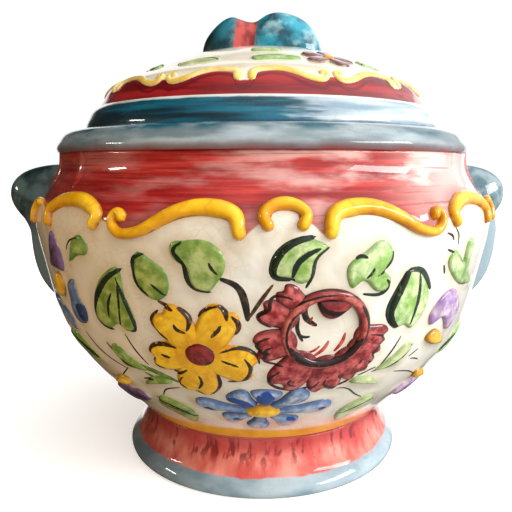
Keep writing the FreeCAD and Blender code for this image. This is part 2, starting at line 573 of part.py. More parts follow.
def make_shoulder_ribs(relief):
    """Soft upright ribs under the collar, two on each side of each lug."""
    width, length = RIB_SIZE
    places = []
    for azimuth in RIB_AZIMUTHS:
        for quarter in (azimuth, -azimuth, 180 + azimuth, 180 - azimuth):
            places.append((quarter - PANEL_TURN, MOULD_WALL_LENGTH - length / 2 - 2.0, oval(width, length)))
    return relief.motif(places, RIB_RELIEF)


# ---------------------------------------------------------------- relief: the lid
def make_lid_relief():
    dome = dome_curve()
    scale = LID_RADIUS / MOULD_LID_RADIUS
    relief = Relief(dome, scale, scale, (0.01, 0.75), (LID_REACH, LID_REACH))
    step = 360 / LID_REPEATS
    turns = [index * step for index in range(LID_REPEATS)]
    leaves = [(azimuth + turn, distance, outline) for turn in turns for azimuth, distance, outline in LID_LEAVES]
    eyes = [(LID_FLOWER_AT[0] + turn, LID_FLOWER_AT[1], oval(*LID_EYE)) for turn in turns]
    petals = []
    for turn in turns:
        place = (LID_FLOWER_AT[0] + turn, LID_FLOWER_AT[1])
        petals += relief.flower(place, LID_FLOWER_PETALS, 1.5, LID_EYE, LID_PETAL_RELIEF).Solids
    drawing = [(a * LID_SCROLL_SCALE, b * LID_SCROLL_SCALE) for a, b in band(*LONG_SCROLL)]
    pair_step = 360 / LID_SCROLL_PAIRS
    scrolls = []
    for index in range(LID_SCROLL_PAIRS):
        middle = index * pair_step - 9.0
        scrolls.append((middle - pair_step / 4, 11.0, drawing))
        scrolls.append((middle + pair_step / 4, 11.0, mirrored(drawing)))
    return {
        "lid_leaves": relief.motif(leaves, LID_LEAF_RELIEF),
        "lid_flower_petals": Part.makeCompound(petals),
        "lid_flower_eyes": relief.motif(eyes, LID_PETAL_RELIEF),
        "lid_scrolls": relief.motif(scrolls, LID_SCROLL_RELIEF),
    }


# ---------------------------------------------------------------- all nodes
def make_nodes():
    nodes = {
        "bowl_wall": make_bowl_wall(),
        "foot_ring": make_foot_ring(),
        "rim_collar": make_rim_collar(),
        "lug_left": make_lug(-1),
        "lug_right": make_lug(1),
        "lid_shell": make_lid_shell(),
        "lid_locating_ring": make_lid_locating_ring(),
        "lid_knob": make_lid_knob(),
    }
    relief = pot_relief()
    front = make_front_relief(relief)
    nodes["shoulder_ribs"] = make_shoulder_ribs(relief)
    nodes.update(front)
    nodes.update(make_back_relief(front))
    nodes.update(make_lid_relief())
    return nodes


os.makedirs("parts", exist_ok=True)
for node_name, node_shape in make_nodes().items():
    node_shape.exportStep("parts/" + node_name + ".step")
    print(node_name, len(node_shape.Solids), "solids", round(node_shape.Volume / 1000, 2), "cm3",
          "valid" if node_shape.isValid() else "NOT VALID")
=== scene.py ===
# %% [markdown]
# # A covered tureen with pressed flowers, made in Blender
# The pot is glazed earthenware. A potter throws or casts the bowl, foot, collar and lid, lutes two lugs
# and a knob to them with slip, presses flowers and scrolls from small moulds onto the soft wall, then
# brushes colours on and covers them with one clear, glossy, finely crackled glaze.
#
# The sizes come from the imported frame. Work below is in millimetres, as a potter measures, and becomes
# metres only when a mesh is written. Azimuth 0 is the front, and azimuths grow towards the right lug.

# %% Load the frame
import math
import bpy
import numpy as np
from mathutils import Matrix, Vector


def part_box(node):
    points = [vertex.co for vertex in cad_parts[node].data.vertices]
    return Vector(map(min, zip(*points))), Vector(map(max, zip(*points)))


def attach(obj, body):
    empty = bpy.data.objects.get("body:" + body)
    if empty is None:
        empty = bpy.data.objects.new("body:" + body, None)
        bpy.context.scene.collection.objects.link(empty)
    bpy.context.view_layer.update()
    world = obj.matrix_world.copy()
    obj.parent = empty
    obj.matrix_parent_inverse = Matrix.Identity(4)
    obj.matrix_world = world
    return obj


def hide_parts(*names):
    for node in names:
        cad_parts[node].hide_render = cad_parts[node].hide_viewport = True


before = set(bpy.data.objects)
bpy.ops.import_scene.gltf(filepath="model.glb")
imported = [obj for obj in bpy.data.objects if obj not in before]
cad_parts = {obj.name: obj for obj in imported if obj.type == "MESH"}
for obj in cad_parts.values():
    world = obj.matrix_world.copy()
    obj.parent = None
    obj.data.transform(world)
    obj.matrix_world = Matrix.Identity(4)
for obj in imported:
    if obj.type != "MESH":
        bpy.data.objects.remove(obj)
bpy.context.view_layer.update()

# %% [markdown]
# ## Camera
# A camera close to a round pot sees it wider at the belly and looks a little down on the lid. The lens
# and the distance belong together: nearer with a shorter lens would swell the front more. The camera
# stands slightly left of the front panel, which is why it is placed on a circle round the pot's axis.

# %% Camera
CAMERA_AZIMUTH = math.radians(-3.0)
CAMERA_DISTANCE = 0.2961
CAMERA_HEIGHT = 0.1441
CAMERA_PITCH = math.radians(9.08)
CAMERA_LENS = 39.375
CAMERA_SHIFT = -0.0123

camera = bpy.data.objects.new("camera", bpy.data.cameras.new("camera"))
camera.data.lens = CAMERA_LENS
camera.data.shift_x = CAMERA_SHIFT
camera.data.clip_start = 0.01
camera.location = (CAMERA_DISTANCE * math.sin(CAMERA_AZIMUTH), -CAMERA_DISTANCE * math.cos(CAMERA_AZIMUTH),
                   CAMERA_HEIGHT)
camera.rotation_euler = (math.pi / 2 - CAMERA_PITCH, 0.0, CAMERA_AZIMUTH)
bpy.context.collection.objects.link(camera)
bpy.context.scene.camera = camera
print("camera at", [round(value, 3) for value in camera.location])

# %% [markdown]
# ## Light and floor
# Glossy glaze shows whatever stands round it, so the surroundings are painted as soft patches of a dark
# room: a pale wall behind, a bright side high on the right, a dim warm one on the left, light from high up
# in front, and a duller ground below. One hard rectangle for every patch would do for the brightness, but
# its outline would show in the glaze. Only the short sharp glints come from small windows. The eye itself
# sees none of the patches, but a plain white backdrop all round. The floor is plain and pale, and glows a
# little, so that it runs into the backdrop without a line. It throws no light back on the pot: the patch
# below stands for that, and can be dimmed.

# %% Lights, sky and floor
AIM = Vector((0.0, 0.0, 0.12))
ROOM = (0.045, 0.032, 0.02)
BACKDROP = (1.05, 1.05, 1.05, 1.0)
# direction of each patch, the dot product where it starts and where it is full, and its colour
SKY_PATCHES = (
    ((0.12, 0.99, 0), 0.79, 0.835, (1.05, 1.05, 1.05)),
    ((0.85, -0.20, 0.50), 0.05, 0.95, (1.16, 1.18, 1.22)),
    ((-0.70, -0.70, 0), 0.20, 1, (0.38, 0.24, 0.09)),
    ((0.42, -0.52, 0.74), 0.25, 1, (0.92, 0.92, 0.90)),
    ((0.40, -0.60, -0.70), 0.10, 1, (0.68, 0.66, 0.62)),
)
WINDOW_DISTANCE = 1.0
# name, direction, width and height, power and colour of each window
WINDOWS = (
    ("window_right", (0.80, -0.44, 0.41), (0.60, 0.22), 7.8, (1.0, 0.99, 0.97)),
    ("window_left", (-0.92, -0.12, 0.33), (0.20, 0.06), 1.4, (1.0, 0.97, 0.92)),
)
FLOOR_REACH = 4.0
FLOOR_PAINT = {"Base Color": (0.9, 0.9, 0.9, 1.0), "Roughness": 0.7, "Emission Color": (1.0, 1.0, 1.0, 1.0),
               "Emission Strength": 0.42}


def add_window(name, towards, size, power, colour):
    """Rectangular soft light: it stands at a distance from the pot in one direction, and faces the pot."""
    light = bpy.data.lights.new(name, "AREA")
    light.shape = "RECTANGLE"
    light.size, light.size_y = size
    light.energy = power
    light.color = colour
    lamp = bpy.data.objects.new(name, light)
    direction = Vector(towards).normalized()
    lamp.location = AIM + direction * WINDOW_DISTANCE
    lamp.rotation_euler = direction.to_track_quat("Z", "Y").to_euler()
    bpy.context.collection.objects.link(lamp)


def add_node(tree, kind, inputs, output=0, **settings):
    """Any shader node. An input that is another node's result is linked, any other is set as a value."""
    made = tree.nodes.new(kind)
    for key, value in settings.items():
        setattr(made, key, value)
    for socket, value in inputs.items():
        if isinstance(value, bpy.types.NodeSocket):
            tree.links.new(value, made.inputs[socket])
        else:
            made.inputs[socket].default_value = value
    return made.outputs[output]


def fill_sky():
    """Sky colour = room + sum of patches, each a smooth step of the dot product with its direction."""
    world = bpy.data.worlds.new("sky")
    world.use_nodes = True
    tree = world.node_tree
    around = add_node(tree, "ShaderNodeTexCoord", {}, "Generated")
    total = add_node(tree, "ShaderNodeRGB", {})
    total.default_value = (*ROOM, 1.0)
    for towards, start, full, colour in SKY_PATCHES:
        facing = add_node(tree, "ShaderNodeVectorMath", {0: around, 1: Vector(towards).normalized()}, "Value",
                          operation="DOT_PRODUCT")
        share = add_node(tree, "ShaderNodeMapRange", {"Value": facing, "From Min": start, "From Max": full},
                         interpolation_type="SMOOTHSTEP")
        patch = add_node(tree, "ShaderNodeVectorMath", {0: colour, "Scale": share}, operation="SCALE")
        total = add_node(tree, "ShaderNodeVectorMath", {0: patch, 1: total})
    by_eye = add_node(tree, "ShaderNodeLightPath", {}, "Is Camera Ray")
    seen = add_node(tree, "ShaderNodeMix", {0: by_eye, 6: total, 7: BACKDROP}, 2, data_type="RGBA")
    tree.links.new(seen, tree.nodes["Background"].inputs["Color"])
    bpy.context.scene.world = world


for window in WINDOWS:
    add_window(*window)
fill_sky()
bpy.context.scene.view_settings.view_transform = "Standard"

floor_mesh = bpy.data.meshes.new("floor")
floor_corners = [(across * FLOOR_REACH, along * FLOOR_REACH, 0.0)
                 for across, along in ((-1, -1), (1, -1), (1, 1), (-1, 1))]
floor_mesh.from_pydata(floor_corners, [], [(0, 1, 2, 3)])
floor = bpy.data.objects.new("floor", floor_mesh)
bpy.context.collection.objects.link(floor)
floor_paint = bpy.data.materials.new("floor_paint")
floor_paint.use_nodes = True
for socket, value in FLOOR_PAINT.items():
    floor_paint.node_tree.nodes["Principled BSDF"].inputs[socket].default_value = value
floor.data.materials.append(floor_paint)
floor.visible_diffuse = False
floor.visible_glossy = False
print("lights", len(bpy.data.lights), "and", len(SKY_PATCHES), "patches of sky")

# %% [markdown]
# ## Smooth lines
# Profiles, outlines and brush strokes are all drawn the same way: a few chosen points, and the smoothest
# line through them. A Bezier curve object could do it, but a cubic spline worked out in numpy gives the
# same line as plain arrays, which every later step can bend onto the pot.

# %% Cubic spline through points


def spline_bend(marks, points, closed):
    """Second derivatives of the cubic spline at its points: one row of equations a point, solved at once."""
    count = len(points)
    matrix = np.eye(count)
    right = np.zeros_like(points)
    steps = np.diff(marks)
    slopes = np.diff(points, axis=0) / steps[:, None]
    inner = np.arange(1, count - 1)
    matrix[inner, inner - 1] = steps[:-1]
    matrix[inner, inner] = 2 * (steps[:-1] + steps[1:])
    matrix[inner, inner + 1] = steps[1:]
    right[inner] = 6 * (slopes[1:] - slopes[:-1])
    if closed:
        matrix[0, :2] = 2 * (steps[-1] + steps[0]), steps[0]
        matrix[0, -2] = steps[-1]
        right[0] = 6 * (slopes[0] - slopes[-1])
        matrix[-1, 0] = -1.0
    return np.linalg.solve(matrix, right)


FINER = 16               # the spline is first drawn with this many steps for each point that is wanted


def smooth_line(points, count, closed=False):
    """Evenly spaced points along the cubic spline through the given ones, measured by chord length."""
    knots = np.array(points, float)
    if closed:
        knots = np.vstack([knots, knots[:1]])
    marks = np.concatenate([[0.0], np.cumsum(np.linalg.norm(np.diff(knots, axis=0), axis=1))])
    bend = spline_bend(marks, knots, closed)
    fine = np.linspace(0.0, marks[-1], FINER * count + 1)
    left = np.clip(np.searchsorted(marks, fine, side="right") - 1, 0, len(knots) - 2)
    step = (marks[left + 1] - marks[left])[:, None]
    after = (fine - marks[left])[:, None] / step
    before = 1.0 - after
    line = (before * knots[left] + after * knots[left + 1]
            + step ** 2 / 6 * ((before ** 3 - before) * bend[left] + (after ** 3 - after) * bend[left + 1]))
    travelled = np.concatenate([[0.0], np.cumsum(np.linalg.norm(np.diff(line, axis=0), axis=1))])
    wanted = np.linspace(0.0, travelled[-1], count + 1 if closed else count)[:count]
    return np.column_stack([np.interp(wanted, travelled, column) for column in line.T])


print("a circle from four points:", np.round(smooth_line([(1, 0), (0, 1), (-1, 0), (0, -1)], 8, True)[1], 3))

# %% [markdown]
# ## The turned surfaces
# A wheel gives bowl and lid their form: one profile, turned. A place on such a wall needs two numbers,
# the azimuth and the distance up the profile. Everything pressed or painted on the pot is worked out in
# those two numbers first and lifted into space last, so it hugs the wall however the wall curves.
# A hand-made wall is never true, so a slow unevenness of a few tenths of a millimetre is part of it.

# %% A wall as a function of azimuth and distance


# a hand-made wall's waves: height in millimetres, waves round the pot, where the wave starts, and the
# millimetres up the wall in which it leans by one radian
WAVES = ((0.22, 2, 0.6, math.inf), (0.14, 3, 0, -30), (0.07, 7, 0, 17))
PROFILE_POINTS = 900
PRESS_STEPS = 6
LEAST_RADIUS = 8.0       # nearer the axis than this, pressing takes smaller turns


class TurnedWall:
    """The outside of a turned piece. A place on it is (azimuth in degrees, millimetres up the profile)."""

    def __init__(self, corners):
        self.line = smooth_line(corners, PROFILE_POINTS)
        steps = np.linalg.norm(np.diff(self.line, axis=0), axis=1)
        self.marks = np.concatenate([[0.0], np.cumsum(steps)])
        self.length = self.marks[-1]
        along = np.gradient(self.line, self.marks, axis=0)
        self.along = along / np.linalg.norm(along, axis=1)[:, None]

    def read(self, table, distance):
        """Each column of a table along the profile, read at some distances between its rows."""
        return [np.interp(distance, self.marks, column) for column in table.T]

    def on(self, azimuth, distance, lift=0.0):
        """Point: the profile's point, moved out along its normal by the lift, turned to the azimuth. The
        waves add to the lift, and fade out towards both ends of the profile."""
        radius, height = self.read(self.line, distance)
        along_out, along_up = self.read(self.along, distance)
        turn = np.radians(azimuth)
        uneven = sum(wave * np.sin(times * turn + start + distance / lean)
                     for wave, times, start, lean in WAVES)
        lift = lift + uneven * np.sin(math.pi * distance / self.length)
        out = radius + along_up * lift
        up = height - along_out * lift
        return np.stack([out * np.sin(turn), -out * np.cos(turn), up + 0 * turn], axis=-1)

    def press(self, drawing, place):
        """Places under a flat drawing that touches the wall at one place: each point drops along the
        wall's normal there. Newton's steps: measure how far off a guess lies, and move it by that."""
        azimuth0, distance0 = place
        turn0 = math.radians(azimuth0)
        out0, up0 = (float(value) for value in self.read(self.along, distance0))
        across = np.array([math.cos(turn0), math.sin(turn0), 0.0])
        upward = np.array([out0 * math.sin(turn0), -out0 * math.cos(turn0), up0])
        radius0, height0 = (float(value) for value in self.read(self.line, distance0))
        origin = np.array([radius0 * math.sin(turn0), -radius0 * math.cos(turn0), height0])
        azimuth = azimuth0 + np.degrees(drawing[..., 0] / radius0)
        distance = distance0 + drawing[..., 1]
        for _ in range(PRESS_STEPS):
            radius, height = self.read(self.line, distance)
            turn = np.radians(azimuth)
            spot = np.stack([radius * np.sin(turn), -radius * np.cos(turn), height], axis=-1) - origin
            sideways = (drawing[..., 0] - spot @ across) / np.maximum(radius, LEAST_RADIUS)
            azimuth = azimuth + np.degrees(sideways)
            distance = distance + (drawing[..., 1] - spot @ upward)
        return np.stack([azimuth, distance], axis=-1)


def box_mm(node):
    """Lowest and highest corner of a node of the frame, in millimetres."""
    low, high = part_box(node)
    return np.array(low) * 1000.0, np.array(high) * 1000.0


def sweep(shares, start, end):
    """Points between two corners (radius, height), by their shares of the way."""
    return np.array(start) + np.array(shares) * (np.array(end) - np.array(start))


bowl_low, bowl_high = box_mm("bowl_wall")
collar_low, collar_high = box_mm("rim_collar")
foot_low, foot_high = box_mm("foot_ring")
lid_low, lid_high = box_mm("lid_shell")
knob_low, knob_high = box_mm("lid_knob")
locating_low, locating_high = box_mm("lid_locating_ring")
BASE_HEIGHT, NECK_HEIGHT, COLLAR_TOP, CROWN = bowl_low[2], bowl_high[2], collar_high[2], lid_high[2]
BASE_RADIUS = 63.0
BELLY_RADIUS, BELLY_HEIGHT = bowl_high[0], 118.0
NECK_RADIUS = collar_high[0] - 1.2
BOWL_WALL = 6.0
BOWL_FLOOR = 6.5
LID_WALL = 5.5
LID_RADIUS, LID_BASE = lid_high[0], lid_low[2]
DOME_RADIUS, DOME_BASE = LID_RADIUS - 6.0, LID_BASE + 13.8
LOWER_SWEEP = ((0, 0), (0.196, 0.106), (0.496, 0.277), (0.744, 0.468), (0.874, 0.66), (0.959, 0.862))
UPPER_SWEEP = (
    (0, 0), (0.068, 0.219), (0.331, 0.406), (0.669, 0.578), (0.924, 0.734), (1.017, 0.875), (1, 1))
DOME_SWEEP = (
    (0, 0), (0.035, 0.13), (0.057, 0.228), (0.119, 0.358), (0.23, 0.489), (0.34, 0.619), (0.451, 0.745),
    (0.56, 0.845), (0.69, 0.925), (0.84, 0.98), (1, 1))

bowl = TurnedWall(np.vstack([sweep(LOWER_SWEEP, (BASE_RADIUS, BASE_HEIGHT), (BELLY_RADIUS, BELLY_HEIGHT)),
                             sweep(UPPER_SWEEP, (BELLY_RADIUS, BELLY_HEIGHT), (NECK_RADIUS, NECK_HEIGHT))]))
dome = TurnedWall(sweep(DOME_SWEEP, (DOME_RADIUS, DOME_BASE), (0.0, CROWN)))
print("wall", round(bowl.length, 1), "mm up the bowl,", round(dome.length, 1), "mm up the dome")

# %% [markdown]
# ## Skins and pieces
# Every piece is a closed skin: rings of points stacked on each other. A lens or a bowl closes at a pole
# at each end, and a ring such as the foot closes on itself. Working this way, no seam stays open. A face
# can point in or out depending on which way the rings run, so the signed volume of the skin is measured,
# and a negative one is turned round. Painted values travel with the points as attributes.

# %% Closed skins and the pieces made of them


def enclosed_volume(points, triangles):
    """Volume inside a closed skin: a sixth of the triple product of each triangle's corners, added up."""
    first, second, third = (points[triangles[:, index]] for index in range(3))
    return np.einsum("ij,ij->", first, np.cross(second, third)) / 6.0


def skin(rings, paint, looped=False):
    """Closed skin over rings of points (ring, column, xyz), with quads between neighbouring rings.
    A looped skin joins the last ring to the first, and any other gets a fan to a pole at each end."""
    count, columns = rings.shape[:2]
    ring = np.arange(count if looped else count - 1)[:, None] * columns
    above = (ring + columns) % (count * columns)
    column = np.arange(columns)
    beside = (column + 1) % columns
    quads = np.stack([ring + column, ring + beside, above + beside, above + column], axis=-1).reshape(-1, 4)
    points = rings.reshape(-1, 3)
    values = {name: np.broadcast_to(value, rings.shape[:2]).ravel() for name, value in paint.items()}
    fans = np.zeros((0, 3), int)
    if not looped:
        low_pole, high_pole = len(points), len(points) + 1
        last = (count - 1) * columns
        points = np.vstack([points, rings[0].mean(axis=0), rings[-1].mean(axis=0)])
        values = {name: np.append(value, [value[0], value[-1]]) for name, value in values.items()}
        fans = np.vstack([np.stack([beside, column, np.full(columns, low_pole)], axis=-1),
                          np.stack([last + column, last + beside, np.full(columns, high_pole)], axis=-1)])
    triangles = np.vstack([quads[:, [0, 1, 2]], quads[:, [0, 2, 3]], fans])
    if enclosed_volume(points, triangles) < 0:
        quads, fans = quads[:, ::-1], fans[:, ::-1]
    return {"points": points, "quads": quads, "fans": fans, "paint": values}


def half_turned(part):
    """The same skin half a turn round the pot, for the back panel: x and y change sign."""
    return dict(part, points=part["points"] * np.array([-1.0, -1.0, 1.0]))


def gathered(groups):
    """The lists of several nodes, one after the other."""
    return [part for parts in groups.values() for part in parts]


def make_piece(name, skins, glaze, body, nodes=()):
    """One object from closed skins: joined points, faces and painted values, parented to its body's empty,
    with the CAD nodes that it stands for hidden.
    """
    faces = []
    start = 0
    for part in skins:
        faces += (part["quads"] + start).tolist() + (part["fans"] + start).tolist()
        start += len(part["points"])
    mesh = bpy.data.meshes.new(name)
    mesh.from_pydata((np.vstack([part["points"] for part in skins]) / 1000.0).tolist(), [], faces)
    mesh.shade_smooth()
    for key in skins[0]["paint"]:
        values = np.concatenate([part["paint"][key] for part in skins]).astype(np.float32)
        mesh.attributes.new(key, "FLOAT", "POINT").data.foreach_set("value", values)
    piece = bpy.data.objects.new(name, mesh)
    bpy.context.collection.objects.link(piece)
    mesh.materials.append(glaze)
    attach(piece, body)
    if nodes:
        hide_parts(*nodes)
    print(name, len(faces), "faces in", len(skins), "skins")


# %% [markdown]
# ## Glazes
# Majolica colours are thin washes over a white ground. They pool and darken in some places and let the
# ground through in others, the brush leaves streaks, and a clear glaze with a fine net of cracks seals
# it all. A recipe object adds one node at a time, so each glaze below reads as a list of washes. The
# gloss is a clear coat on the shader, and the washes only change the colour under it.

# %% Recipes for glazes


def wash(red, green, blue):
    """A colour as screens name it, 0 to 255, in the linear values that shaders use."""
    share = np.array([red, green, blue]) / 255.0
    linear = np.where(share <= 0.04045, share / 12.92, ((share + 0.055) / 1.055) ** 2.4)
    return (*linear.tolist(), 1.0)


CRACK_SIZE = 4.2
CRACK_STAIN = wash(120, 84, 50)
# painted shade on the pot's left side: x in millimetres where it starts and where it is darkest
LEFT_PAINTED_SHADE = (-40.0, -100.0)      # where the left side of the pot starts to darken, and is darkest
GLOSS = {"Specular IOR Level": 0.05, "Coat IOR": 1.36, "Coat Roughness": 0.035}


class Recipe:
    """A glaze being mixed. Every method adds a node or a few, and hands back their result."""

    def __init__(self, name, roughness=0.22, coat=1.0):
        self.material = bpy.data.materials.new(name)
        self.material.use_nodes = True
        self.tree = self.material.node_tree
        self.shader = self.tree.nodes["Principled BSDF"]
        for socket, value in {"Roughness": roughness, "Coat Weight": coat, **GLOSS}.items():
            self.shader.inputs[socket].default_value = value
        self.place = self.tree.nodes.new("ShaderNodeTexCoord").outputs["Object"]

    def node(self, kind, inputs, output=0, **settings):
        """One node of this glaze."""
        return add_node(self.tree, kind, inputs, output, **settings)

    def cloud(self, size, stretch=(1, 1, 1), detail=3.0, shift=0.0):
        """Soft clouds about size millimetres across, squeezed along an axis by its stretch."""
        moved = self.node("ShaderNodeMapping", {0: self.place, 1: (shift, shift, shift), 3: stretch})
        return self.node("ShaderNodeTexNoise", {"Vector": moved, "Scale": 1000.0 / size, "Detail": detail})

    def blotches(self, size, low, high, stretch=(1, 1, 1), detail=3.0, shift=0.0):
        """Clouds with an edge: 0 where a cloud is thinner than low, 1 where it is thicker than high."""
        return self.between(self.cloud(size, stretch, detail, shift), low, high)

    def painted(self, name):
        """A value painted on the mesh's points."""
        return self.node("ShaderNodeAttribute", {}, "Fac", attribute_name=name)

    def axis(self, index):
        """X, Y or Z of the place, in millimetres."""
        value = self.node("ShaderNodeSeparateXYZ", {0: self.place}, index)
        return self.math("MULTIPLY", value, 1000.0)

    def math(self, operation, first, second=0.0):
        """One sum on two values."""
        return self.node("ShaderNodeMath", {0: first, 1: second}, operation=operation)

    def between(self, value, low, high):
        """0 below low, 1 above high, and an S curve between them. High to low runs the other way."""
        ends = {"Value": value, "From Min": low, "From Max": high}
        return self.node("ShaderNodeMapRange", ends, interpolation_type="SMOOTHSTEP")

    def scaled(self, value, low, high):
        """A share from 0 to 1 spread over another range."""
        return self.node("ShaderNodeMapRange", {"Value": value, "To Min": low, "To Max": high})

    def mix(self, share, first, second):
        """The first colour where the share is 0, the second where it is 1."""
        return self.node("ShaderNodeMix", {0: share, 6: first, 7: second}, 2, data_type="RGBA")

    def laid(self, colour, over, share, strength):
        """A wash laid over a colour, as thick as the share times a strength below 1."""
        return self.mix(self.math("MULTIPLY", share, strength), colour, over)

    def wobbled(self, value, size, amount, shift=0.0):
        """A painted distance, pushed to and fro by clouds, so that an edge looks brushed by hand."""
        push = self.scaled(self.cloud(size, shift=shift), -amount, amount)
        return self.math("ADD", value, push)

    def crackled(self, colour, strength):
        """The net of fine cracks: the edges between random cells, stained a little, fading in and out."""
        bent = self.node("ShaderNodeTexNoise", {"Vector": self.place, "Scale": 120.0}, "Color")
        place = self.node("ShaderNodeMix", {0: 0.004, 4: self.place, 5: bent}, 1, data_type="VECTOR")
        cells = self.node("ShaderNodeTexVoronoi", {"Vector": place, "Scale": 1000.0 / CRACK_SIZE},
                          "Distance", feature="DISTANCE_TO_EDGE")
        line = self.between(cells, 0.045, 0.006)
        patchy = self.blotches(30.0, 0.42, 0.62, shift=3.0)
        return self.laid(colour, CRACK_STAIN, self.math("MULTIPLY", line, patchy), strength)

    def finish(self, colour, bump=0.00012):
        """Joins the colour to the shader, with the faint ripple of a melted glaze."""
        self.tree.links.new(colour, self.shader.inputs["Base Color"])
        ripple = self.cloud(9.0, detail=2.0, shift=7.0)
        bumped = self.node("ShaderNodeBump", {"Strength": 0.6, "Distance": bump * 8.0, "Height": ripple})
        self.tree.links.new(bumped, self.shader.inputs["Normal"])
        return self.material


print("washes are linear: mid grey is", round(wash(128, 128, 128)[0], 3))

# %% [markdown]
# ## Pressed sprigs
# A sprig is a flat piece of clay pressed out of a mould: its edge is rounded, its middle is nearly level
# with a low crown. It could be sculpted, or be the CAD solid with a bevel. A lens is better here: rings
# that shrink from the outline to the middle, with a height worked out from the distance to the outline,
# so every leaf gets the same soft edge whatever its shape. Its underside is sunk a little into the wall.

# %% Distances to lines, and the lens


def gap_to(places, line, widths=None):
    """Millimetres from flat places to a line of points, less the half width of the line there. For each
    place and each segment: the nearest point of the segment, its distance, and the least of them all."""
    start, run = line[:-1], np.diff(line, axis=0)
    half = np.zeros(len(line)) if widths is None else widths
    offset = places[..., None, :] - start
    share = np.clip(np.sum(offset * run, axis=-1) / np.maximum(np.sum(run ** 2, axis=-1), 1e-9), 0.0, 1.0)
    distance = np.linalg.norm(offset - share[..., None] * run, axis=-1)
    return np.min(distance - (half[:-1] + share * (half[1:] - half[:-1])), axis=-1)


def closed(line):
    """The line with its first point once more at its end."""
    return np.vstack([line, line[:1]])


SUNK = 0.6               # underside of every applied piece, below the wall's surface
FAR = 6.0                # painted distances are kept to this many millimetres
INNER_RING = 0.04        # the smallest ring of a lens, as a share of its outline


def lens(wall, outline, place, relief, rounding=1.7, crown=0.25, columns=96, rings=20):
    """Rings of azimuth, distance, lift and edge gap for a sprig: its outline shrinks to its middle, in
    rings that crowd towards the outline, and the lift rises from the edge as a quarter circle and goes on
    as a shallow crown."""
    edge = smooth_line(outline, columns, closed=True)
    middle = edge.mean(axis=0)
    shares = 1.0 - (1.0 - np.linspace(INNER_RING, 1.0, rings)) ** 1.5
    flat = middle + shares[:, None, None] * (edge - middle)
    gap = np.minimum(gap_to(flat, closed(edge)), FAR)
    gap[-1] = 0.0
    near = np.clip(gap / rounding, 0.0, 1.0)
    dome_share = 1.0 - shares[:, None] ** 2
    lift = relief * ((1 - crown) * np.sqrt(1.0 - (1.0 - near) ** 2) + crown * dome_share)
    places = wall.press(flat, place)
    return {"azimuth": places[..., 0], "distance": places[..., 1], "lift": lift, "edge": gap, "flat": flat}


def lens_skin(wall, shape, paint):
    """The lens lifted off its wall, closed by its own outline and middle sunk below the surface."""
    top = wall.on(shape["azimuth"], shape["distance"], shape["lift"])
    under = wall.on(shape["azimuth"][[-1, 0]], shape["distance"][[-1, 0]], -SUNK)
    values = {name: np.vstack([value, np.full((2, value.shape[1]), value[-1].mean())])
              for name, value in paint.items()}
    return skin(np.concatenate([top, under]), values)


print("a place 5 mm beside a line:", gap_to(np.array([[5.0, 0.0]]), np.array([[0.0, -9.0], [0.0, 9.0]])))

# %% [markdown]
# ## Brush strokes
# The outlines are thick-and-thin strokes of a pointed brush. Painting them as an image would need a very
# large one. Instead each sprig's points carry the signed distance to the nearest stroke, negative inside
# it, and the glaze turns that into a sharp but slightly ragged edge, however coarse the mesh is.
# Strokes are listed as a width and places on the pot. Their azimuths are counted from the painter's own
# mark, four degrees left of the panel's middle, and their heights from a mark just below the bowl.

# %% Strokes on the wall
PANEL_TURN = 1.0         # the front panel sits this many degrees off square with the lugs
PAINTER_TURN = -4.0      # the painter's mark, in degrees from the panel's middle
PAINTER_RISE = -2.2      # and in millimetres from the foot of the bowl
STROKE_FULLNESS = 1.18   # brush strokes are this much wider than their listed widths
STROKE_TIP = 0.35        # width of a stroke's ends, as a share of its middle


def stroke_line(points, width, count=18):
    """A stroke as (azimuth, distance) places and half widths: full in the middle, finer to both ends."""
    line = smooth_line(points, count) + np.array([PAINTER_TURN + PANEL_TURN, PAINTER_RISE])
    share = np.linspace(0.0, 1.0, count)
    return line, STROKE_FULLNESS * width / 2 * (
        STROKE_TIP + (1.0 - STROKE_TIP) * np.sin(math.pi * share) ** 0.6)


def brush_gap(wall, shape, strokes):
    """Signed distance from each point of a sprig to its nearest stroke. Azimuths become millimetres round
    the wall at the sprig's mean radius."""
    around = wall.read(wall.line, shape["distance"])[0].mean()
    flat = np.stack([np.radians(shape["azimuth"]) * around, shape["distance"]], axis=-1)
    best = np.full(shape["distance"].shape, FAR)
    for width, points in strokes:
        line, half = stroke_line(points, width)
        line = np.column_stack([np.radians(line[:, 0]) * around, line[:, 1]])
        best = np.minimum(best, gap_to(flat, line, half))
    return best


# the warm line round each of these outlines is pooled glaze and painted shade in the crease
wall_edges = []          # outlines of everything applied to the bowl, for the glaze that pools round them


def on_panel(place):
    """A place counted from the middle of the front panel, as (azimuth, distance) on the bowl."""
    return place[0] + PANEL_TURN, place[1]


def applied(shape, strokes, lit_share):
    """Skin of a lens on the bowl, with its edge gap, its stroke gap and its lit share painted on it. Its
    outline is kept, for the pooled glaze and painted shade round it."""
    wall_edges.append(np.stack([shape["azimuth"][-1], shape["distance"][-1]], axis=-1))
    paint = {"edge": shape["edge"], "brush": brush_gap(bowl, shape, strokes),
             "lit_share": np.broadcast_to(lit_share, shape["edge"].shape)}
    return lens_skin(bowl, shape, paint)


def sprig(outline, place, relief, strokes=(), lit_share=0.0, rounding=1.7):
    """A sprig on the bowl, with one lit share of painted light all over."""
    return applied(lens(bowl, outline, on_panel(place), relief, rounding), strokes, lit_share)


print("strokes taper from", np.round(stroke_line([(0, 0), (5, 5)], 2.0)[1][[0, 9]], 2), "mm half width")

# %% [markdown]
# ## Raised scrolls and painted lines
# Scrolls are rolls of clay with bulb ends. A bevelled curve object would give a round pipe, but a pressed
# roll is half round, sits flat and changes width along its way. So a section is carried along a spine:
# half an ellipse above the wall, closed below it, drawn out to a round end both ways. The same function
# with almost no height will lay brush lines on the wall as thin films of colour.

# %% Half-round bands along a spine


CLOSED_END = 0.004       # what is left of a band's width at its very ends, squared


